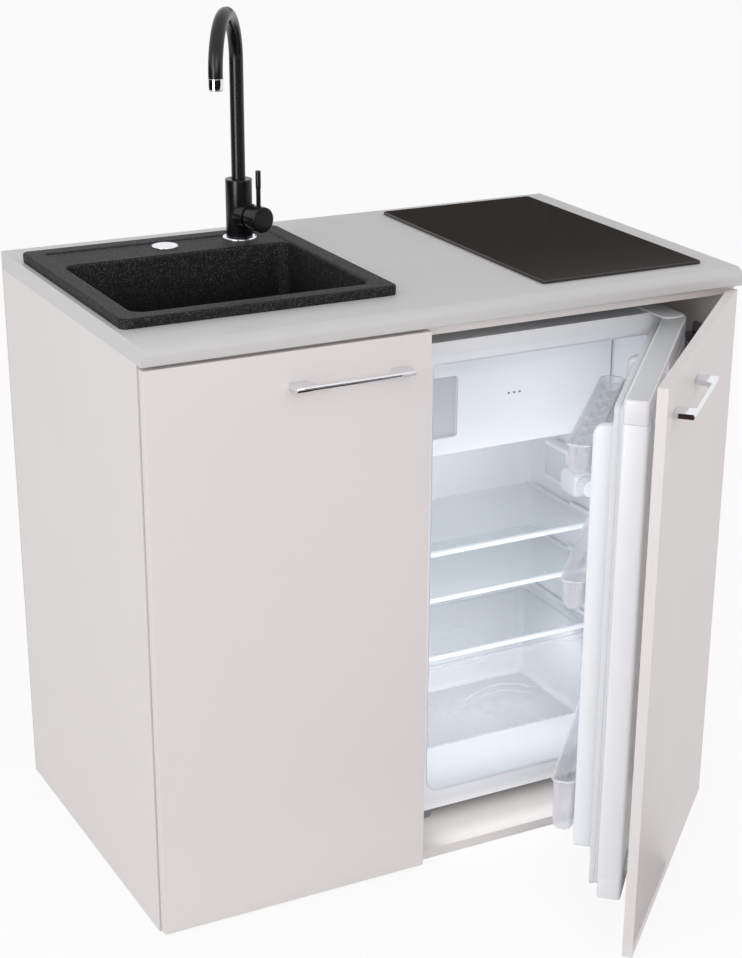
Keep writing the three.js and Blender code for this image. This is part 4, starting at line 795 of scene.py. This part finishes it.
ledges = [
    slab_shell((near, -0.098, shelf_top - 0.009), (far, 0.110, shelf_top - 0.0042), 0.002, 0.0012, axis=1)
    for shelf_top in (0.455, 0.373, 0.267)
    for near, far in ((liner_x[0] - 0.001, liner_x[0] + 0.008), (liner_x[1] - 0.008, liner_x[1] + 0.001))
]
piece("liner", [(liner_grid(), False), *ledges], white_plastic, "fridge_liner", sharp=38)

# ---- Freezer compartment and its flap -------------------------------------------------------
# A white moulded box under the liner's roof, closed by a flap that swings on the right. The flap
# has a sunk field at its left with a plain grey plate in it, and three small raised dots in the
# middle.

freezer_low, freezer_high = box("freezer_box")
freezer_wall = 0.005
freezer = piece("freezer_moulding", [slab_shell(freezer_low, freezer_high, 0.005, 0.0015, axis=1)], white_plastic,
                "freezer_box")
carve(freezer, slab_shell(freezer_low + (freezer_wall, -0.01, freezer_wall), freezer_high - freezer_wall, 0.004,
                          0.0005, axis=1))

flap_low, flap_high = box("freezer_flap")
flap_front = flap_high[1] - 0.014
flap = piece(
    "flap_moulding",
    [slab_shell((-0.0027, flap_front, flap_low[2]), (0.3847, flap_high[1], 0.808), 0.012, 0.004, axis=1)],
    white_plastic, "freezer_flap", "freezer_flap")
grip_low = np.array([0.0343, flap_front - 0.01, 0.656])
grip_high = np.array([0.0943, flap_front + 0.005, 0.757])
carve(flap, slab_shell(grip_low, grip_high, 0.006, 0.002, axis=1))

grip_grey = mottled_finish("grip_grey", (205, 205, 212), (198, 198, 206), 400.0, 30.0, 0.45, 0.1, 0.00002)
grip_plate = slab_shell(grip_low + (0.0004, 0.0146, 0.0004), grip_high + (-0.0004, 0.0002, -0.0004), 0.0055, 0.0001,
                        axis=1)
piece("flap_grip_plate", [grip_plate], grip_grey, body="freezer_flap")
mark_grey = mottled_finish("mark_grey", (120, 122, 128), (110, 112, 118), 600.0, 60.0, 0.5, 0.1, 0.00001)
mark_middle, mark_pitch, mark_radius, mark_z = 0.1985, 0.0103, 0.0019, 0.7145
dots = [
    turned_shell([(0.0, 0.0), (mark_radius, 0.0), (mark_radius, 0.0005), (0.0, 0.0005)],
                 (mark_middle + step * mark_pitch, flap_front + 0.0001, mark_z), (0, -1, 0), 32, 0.0003)
    for step in (-1, 0, 1)
]
piece("flap_dots", dots, mark_grey, body="freezer_flap")

# ---- Shelves --------------------------------------------------------------------------------
# Clear toughened glass, clipped along its front in a round white moulding and carried at its sides
# on the liner's ledges.


def clear_finish(name, colour, roughness, straight, grazing, grain):
    """Clear sheet: alpha runs from straight, seen square on, to grazing, with a slight mottle, and most
    of the light that a sheet scatters passes through it."""
    material, tree, shader = new_finish(name, 0.6)
    light_passed = 0.85
    ripples = tree.noise(tree.object_place(), grain, 2.0)
    tone = srgb(*colour)
    slant = tree.add("LayerWeight", {"Blend": 0.35}).outputs["Facing"]
    see = tree.math("ADD", tree.math("MULTIPLY", slant, grazing - straight), straight)
    shadow = tree.math("MULTIPLY", tree.add("LightPath", {}).outputs["Is Shadow Ray"], light_passed)
    tree.fill(shader, {
        "Base Color": tree.mix(ripples, tone, tuple(c * 0.96 for c in tone[:3]) + (1.0,)),
        "Roughness": tree.math("ADD", tree.math("MULTIPLY", ripples, 0.05), roughness),
        "Alpha": tree.math("MULTIPLY", see, tree.math("SUBTRACT", 1.0, shadow)),
    })
    tree.bump(shader, ripples, 0.00004)
    return material


shelf_glass = clear_finish("shelf_glass", (234, 244, 248), 0.04, 0.16, 0.46, 12.0)
for name, node in (("upper_shelf", "shelf_upper"), ("lower_shelf", "shelf_lower"), ("crisper_lid", "crisper_cover")):
    low, high = box(node)
    front, top = low[1], high[2] - 0.001
    glass = slab_shell((low[0], front + 0.002, top - 0.004), (high[0], high[1], top), 0.003, 0.0006)
    piece(f"{name}_glass", [glass], shelf_glass, node)
    mouldings = [slab_shell(low, (high[0], front + 0.010, low[2] + 0.009), 0.0035, 0.002, axis=0, corner_steps=6)]
    mouldings += [
        slab_shell((x0, front + 0.006, top - 0.0062), (x1, high[1] - 0.004, top + 0.0006), 0.002, 0.001, axis=1)
        for x0, x1 in ((low[0], low[0] + 0.007), (high[0] - 0.007, high[0]))
    ]
    mouldings += [
        slab_shell((x0, front + 0.004, top + 0.0002), (x1, front + 0.085, top + 0.0085), 0.003, 0.0018, axis=1)
        for x0, x1 in ((low[0] + 0.0005, low[0] + 0.009), (high[0] - 0.009, high[0] - 0.0005))
    ]
    piece(f"{name}_trim", mouldings, white_plastic)

# ---- Crisper --------------------------------------------------------------------------------
# A clear polystyrene drawer with thin walls, round lower edges, a rolled rim and two raised arcs
# moulded across its front.

clear_plastic = clear_finish("clear_plastic", (240, 241, 246), 0.08, 0.24, 0.60, 40.0)
crisper_plastic = clear_finish("crisper_plastic", (246, 249, 254), 0.08, 0.15, 0.50, 40.0)


def tub_shell(low, high, wall, corner, foot, rim=0.0, lean=0.0):
    """A thin tub: a rounded loop goes up the outside from the floor round a foot radius, out to a rolled
    rim, and down the inside; lean draws the floor in from the rim."""
    x, y, (bottom, top) = zip(low, high)

    def loop(draw, radius, z):
        draw += lean * (top - z) / (top - bottom)
        return at_level(rounded_loop(x, y, max(radius, 0.001), draw), z)

    def foot_loops(radius, draw, corner, z):
        angle = np.linspace(0, math.pi / 2, 7)
        inset, rise = radius * (1 - np.sin(angle)), radius * (1 - np.cos(angle))
        return [loop(draw + inward, corner - inward, z + up) for inward, up in zip(inset, rise)]

    outside = foot_loops(foot, rim, corner, bottom)
    roll = [loop(rim, corner, top - 2 * rim - 0.004), loop(0, corner + rim, top - rim - 0.002),
            loop(0, corner + rim, top - 0.0006), loop(0.0006, corner + rim, top)]
    back = [loop(rim + wall, corner - wall, z) for z in (top, top - 0.002)]
    inside = foot_loops(foot - wall, rim + wall, corner - wall, bottom + wall)
    return np.array(outside + roll + back + inside[::-1]), False


crisper_low, crisper_high = box("crisper_drawer")
crisper_middle = (crisper_low[0] + crisper_high[0]) / 2


def crescent_shell(height, half_width, rise, thickness):
    """A raised arc on the drawer's front: a round bead carried along z = rise cos(pi x / 2 w)."""
    share = np.linspace(-1, 1, 41)
    xz = np.stack([crisper_middle + half_width * share,
                   crisper_low[2] + height + rise * np.cos(share * math.pi / 2)], -1)
    return swept_shell(at_level(xz, crisper_low[1] + 0.004, 1), thickness, (0, 1, 0), 28)


piece("crisper_tub", [
    tub_shell(crisper_low, crisper_high, 0.0022, 0.013, 0.011, rim=0.004),
    crescent_shell(0.075, 0.075, 0.022, 0.0014), crescent_shell(0.069, 0.062, 0.014, 0.0010),
], crisper_plastic, "crisper_drawer", "crisper")

# ---- Lamp and thermostat --------------------------------------------------------------------
# A white housing on the right wall holds the lamp behind a frosted window. In front of it a rounder
# moulding carries the dial, a ribbed knob on a spindle.

lens_face = clear_finish("lamp_lens", (228, 231, 234), 0.2, 0.85, 0.95, 200.0)
housing_low, housing_high = box("thermostat_housing")
lamp_low = np.array([housing_high[0] - 0.025, housing_high[1] - 0.091, housing_low[2]])
lamp_rear = housing_high - (0, 0.026, 0)
lamp_body = slab_shell(lamp_low - (0, 0.014, 0), lamp_rear, 0.006, 0.004, axis=0)
dial_body = slab_shell(housing_low, (housing_high[0], housing_low[1] + 0.052, housing_low[2] + 0.044), 0.012, 0.008,
                       axis=0)
piece("control_housing", [lamp_body, dial_body], white_plastic, "thermostat_housing")
lens = slab_shell(lamp_low + (-0.0008, -0.004, 0.007),
                  (lamp_low[0] + 0.001, lamp_rear[1] - 0.005, housing_high[2] - 0.007), 0.004, 0.0006, axis=0)
piece("lamp_window", [lens], lens_face)
knob_low, knob_high = box("thermostat_knob")
knob_x, _, knob_z = (knob_low + knob_high) / 2
knob = turned_shell([(0.0, 0.0), (0.017, 0.0), (0.017, 0.004), (0.0155, 0.006), (0.0145, 0.018), (0.0, 0.018)],
                    (knob_x, knob_high[1], knob_z), (0, -1, 0), 192, 0.0012, flutes=24, flute_depth=0.05)
piece("dial_knob", [knob], white_plastic, "thermostat_knob", "thermostat")

# ---- Refrigerator door ----------------------------------------------------------------------
# A foamed door: a lacquered steel skin between two moulded end caps, a formed inner panel with two
# upright ridges that hold the bins, and a soft magnetic seal pressed into a groove round it.

pin = np.array([0.407, -0.261, 0.0])
fridge_turn = door_turn * 1.104
skin = 0.0225
panel_x, panel_y, panel_z = (-0.445, 0.013), (-0.015, skin), (0.0545, 0.8485)
cap_height, cap_step = 0.035, 0.0006


def on_fridge_door(*shells):
    """Shells drawn round the hinge pin with the door shut, as they stand with it open."""
    return swung([(grid + pin, wraps) for grid, wraps in shells], pin, fridge_turn)


def door_slab(draw, z, edge):
    """A layer of the door between two heights, drawn in from the skin's outline by draw."""
    return slab_shell((panel_x[0] + draw, panel_y[0] + draw, z[0]), (panel_x[1] - draw, panel_y[1] - draw, z[1]),
                      0.006, edge)


door_middle = door_slab(0.0, (panel_z[0] + cap_height, panel_z[1] - cap_height), 0.0003)
end_caps = [
    door_slab(cap_step, z, 0.0015)
    for z in ((panel_z[0], panel_z[0] + cap_height), (panel_z[1] - cap_height, panel_z[1]))
]
piece("door_skin", on_fridge_door(door_middle, *end_caps), enamel, "fridge_door_panel", "fridge_door")
# A thin grey plate over the door's top: painted shade that makes the top face darker than the cap's white sides.
top_shade_plate = slab_shell((panel_x[0] + 0.005, panel_y[0] + 0.003, panel_z[1] - 0.002),
                       (panel_x[1] - 0.005, panel_y[1] - 0.004, panel_z[1] + 0.0004), 0.004, 0.0003)
top_shade_grey = mottled_finish("top_shade_grey", (208, 211, 210), (203, 206, 205), 600.0, 9.0, 0.35, 0.1, 0.00002)
piece("door_cap_plate", on_fridge_door(top_shade_plate), top_shade_grey, body="fridge_door")

seal_x, seal_z, seal_width = (-0.433, 0.001), (0.0665, 0.8365), 0.014
seal_foot, seal_face = skin + 0.0003, skin + 0.0135
seal_section = rounded_profile(
    [(0.001, seal_foot), (0.001, seal_foot + 0.003), (0.0030, seal_foot + 0.0045), (0.0010, seal_foot + 0.006),
     (0.0, seal_face - 0.0035), (0.0, seal_face), (seal_width, seal_face), (seal_width, seal_face - 0.0035),
     (0.0115, seal_foot + 0.006), (0.0095, seal_foot + 0.0045), (0.0125, seal_foot + 0.003), (0.0125, seal_foot),
     (0.001, seal_foot)], 0.0008)
seal_grid = np.array([
    at_level(rounded_loop(seal_x, seal_z, max(0.012 - draw, 0.001), draw, 6), depth, 1)
    for draw, depth in seal_section
])
seal_finish = mottled_finish("seal", (226, 227, 229), (218, 219, 222), 700.0, 12.0, 0.6, 0.1, 0.00004)
piece("door_seal", on_fridge_door((seal_grid, True)), seal_finish, "fridge_door_gasket", "fridge_door", 40)

liner_step, ridge_face = skin + 0.0075, skin + 0.0455
ridge_z = (0.116, 0.797)
door_plate = slab_shell((seal_x[0] + 0.015, skin + 0.0003, seal_z[0] + 0.015),
                        (seal_x[1] - 0.015, liner_step, seal_z[1] - 0.015), 0.006, 0.002, axis=1)


def ridge_shell(x):
    """An upright ridge: an outline in Y and Z with a round upper front corner, drawn in by its edge
    radius at both sides."""
    edge = 0.005
    outline = rounded_loop((skin - 0.016, ridge_face), ridge_z, (0.004, 0.017, 0.004, 0.004), 0.0, 12)
    middle = np.array([skin, (ridge_z[0] + ridge_z[1]) / 2])
    half = np.array([ridge_face - skin, (ridge_z[1] - ridge_z[0]) / 2])
    rings = []
    for place, side in zip(x, (1, -1)):
        for a in np.linspace(0, math.pi / 2, 6)[::side]:
            scaled = middle + (outline - middle) * (1 - edge * (1 - math.sin(a)) / half)
            scaled[:, 0] = np.maximum(scaled[:, 0], skin + 0.0003)
            rings.append(at_level(scaled, place + side * edge * (1 - math.cos(a)), 0))
    return np.array(rings), False


ridges = [ridge_shell(x) for x in ((-0.405, -0.387), (-0.061, -0.043))]
piece("door_inner_panel", on_fridge_door(door_plate, *ridges), white_plastic, "fridge_door_liner",
      "fridge_door", 38)

# ---- Door bins ------------------------------------------------------------------------------
# Clear trays that hang between the door's two ridges and swell out in front of them. The upper one
# holds a dimpled egg rack.

bin_x, waist_x = (-0.395, -0.050), (-0.3867, -0.0613)
bin_front, bin_wall = skin + 0.0845, 0.002
rim_bead = 0.0009


def bin_shells(bottom, top):
    """A tray in front of the ridges and a narrower one between them, their walls leaning out a little."""
    front = tub_shell((bin_x[0], ridge_face + 0.0003, bottom), (bin_x[1], bin_front, top), bin_wall, 0.013, 0.010,
                      rim=0.0015, lean=0.002)
    rear = tub_shell((waist_x[0], liner_step + 0.0003, bottom), (waist_x[1], ridge_face + 0.0023, top), bin_wall,
                     0.004, 0.003, rim=0.0002)
    return front, rear


def bead_shell(z):
    """A round bead carried round a bin's mouth: drawn in by -r cos a at height z + r sin a."""
    rings = []
    for a in np.linspace(0, 2 * math.pi, 12, endpoint=False):
        draw = -rim_bead * math.cos(a)
        loop = rounded_loop(bin_x, (ridge_face + 0.0013, bin_front), 0.013 - draw, draw)
        rings.append(at_level(loop, z + rim_bead * math.sin(a)))
    return np.array(rings), True


def egg_rack_shell(y0, y1):
    """A thin sheet pressed into seven cups in a row: z = top - depth ease(1.6 sin^2 sin^2), its underside
    a sheet's thickness lower."""
    (x0, x1), (z0, z1) = (waist_x[0] + 0.006, waist_x[1] - 0.006), (0.738, 0.754)
    cups, cup_steps, thickness = 7, 16, 0.0012
    x, y = np.linspace(x0, x1, cup_steps * cups + 1), np.linspace(y0, y1, cup_steps + 1)
    gx, gy = np.meshgrid(x, y, indexing="ij")
    wave_x = np.sin((gx - x0) / (x1 - x0) * cups * math.pi) ** 2
    wave_y = np.sin((gy - y0) / (y1 - y0) * math.pi) ** 2
    upper = np.stack([gx, gy, z1 - (z1 - z0) * ease(1.6 * wave_x * wave_y)], -1)
    return np.concatenate([upper, (upper - (0, 0, thickness))[:, ::-1]], axis=1), False


# The rim beads take a whiter, more opaque clear than the trays: a real rolled bead whose finish is painted highlight
# along the bins' rims.
rim_highlight_clear = clear_finish("rim_highlight_clear", (250, 250, 252), 0.06, 0.45, 0.80, 60.0)
for level, bottom, top in (("upper", 0.713, 0.760), ("middle", 0.502, 0.550), ("lower", 0.130, 0.219)):
    piece(f"{level}_bin_tray", on_fridge_door(*bin_shells(bottom, top)), clear_plastic,
          f"bin_{level}", "fridge_door", 36)
    piece(f"{level}_bin_rim", on_fridge_door(bead_shell(top - rim_bead)), rim_highlight_clear,
          body="fridge_door")
rack_row_y = (liner_step + 0.004, ridge_face - 0.001), (ridge_face + 0.004, bin_front - 0.006)
rack_rows = [egg_rack_shell(y0, y1) for y0, y1 in rack_row_y]
piece("egg_rack", on_fridge_door(*rack_rows), crisper_plastic, body="fridge_door")

# ---- Hinge brackets and sliding couplings ---------------------------------------------------
# The refrigerator door turns on pins in two steel brackets. A nylon block on its front runs in a
# rail on the furniture door's back, so that the two doors open together.

bracket_low, bracket_high = box("fridge_upper_hinge")
plate_bottom, pin_bottom = bracket_high[2] - 0.003, bracket_low[2]
pin_top = plate_bottom + 0.001
bracket_plate = slab_shell((*bracket_low[:2], plate_bottom), bracket_high, 0.010, 0.0008)
bracket_pin = turned_shell([(0.0, pin_bottom), (0.004, pin_bottom), (0.004, pin_top), (0.0, pin_top)], pin,
                           around=48, rounding=0.0008)
piece("upper_bracket", [bracket_plate, bracket_pin], enamel, "fridge_upper_hinge")
dress(white_plastic, "upper_slide_rail", "lower_slide_rail", "upper_slide_block", "lower_slide_block")

# ---- Base and compressor --------------------------------------------------------------------
# A grey pressed tray on four feet carries the refrigerator, with the compressor's welded can
# standing behind the casing.

dark_metal = mottled_finish("dark_lacquer", (44, 46, 49), (36, 38, 41), 800.0, 20.0, 0.45, 0.15, 0.00003)
tray_lacquer = mottled_finish("tray_lacquer", (128, 129, 131), (118, 119, 121), 800.0, 20.0, 0.5, 0.12, 0.00003)
dress(tray_lacquer, "fridge_base")
can_low, can_high = box("compressor")
can_bottom, can_top = can_low[2], can_high[2]
can_radius = (can_high[0] - can_low[0]) / 2
can = turned_shell(
    [(0.0, can_bottom), (can_radius - 0.015, can_bottom), (can_radius, can_bottom + 0.015),
     (can_radius, can_bottom + 0.080), (can_radius - 0.003, can_bottom + 0.082),
     (can_radius - 0.003, can_top - 0.03), (can_radius - 0.015, can_top - 0.0075), (0.0, can_top)],
    (can_low + can_high) / 2 * (1, 1, 0), rounding=0.008)
piece("compressor_can", [can], dark_metal, "compressor")
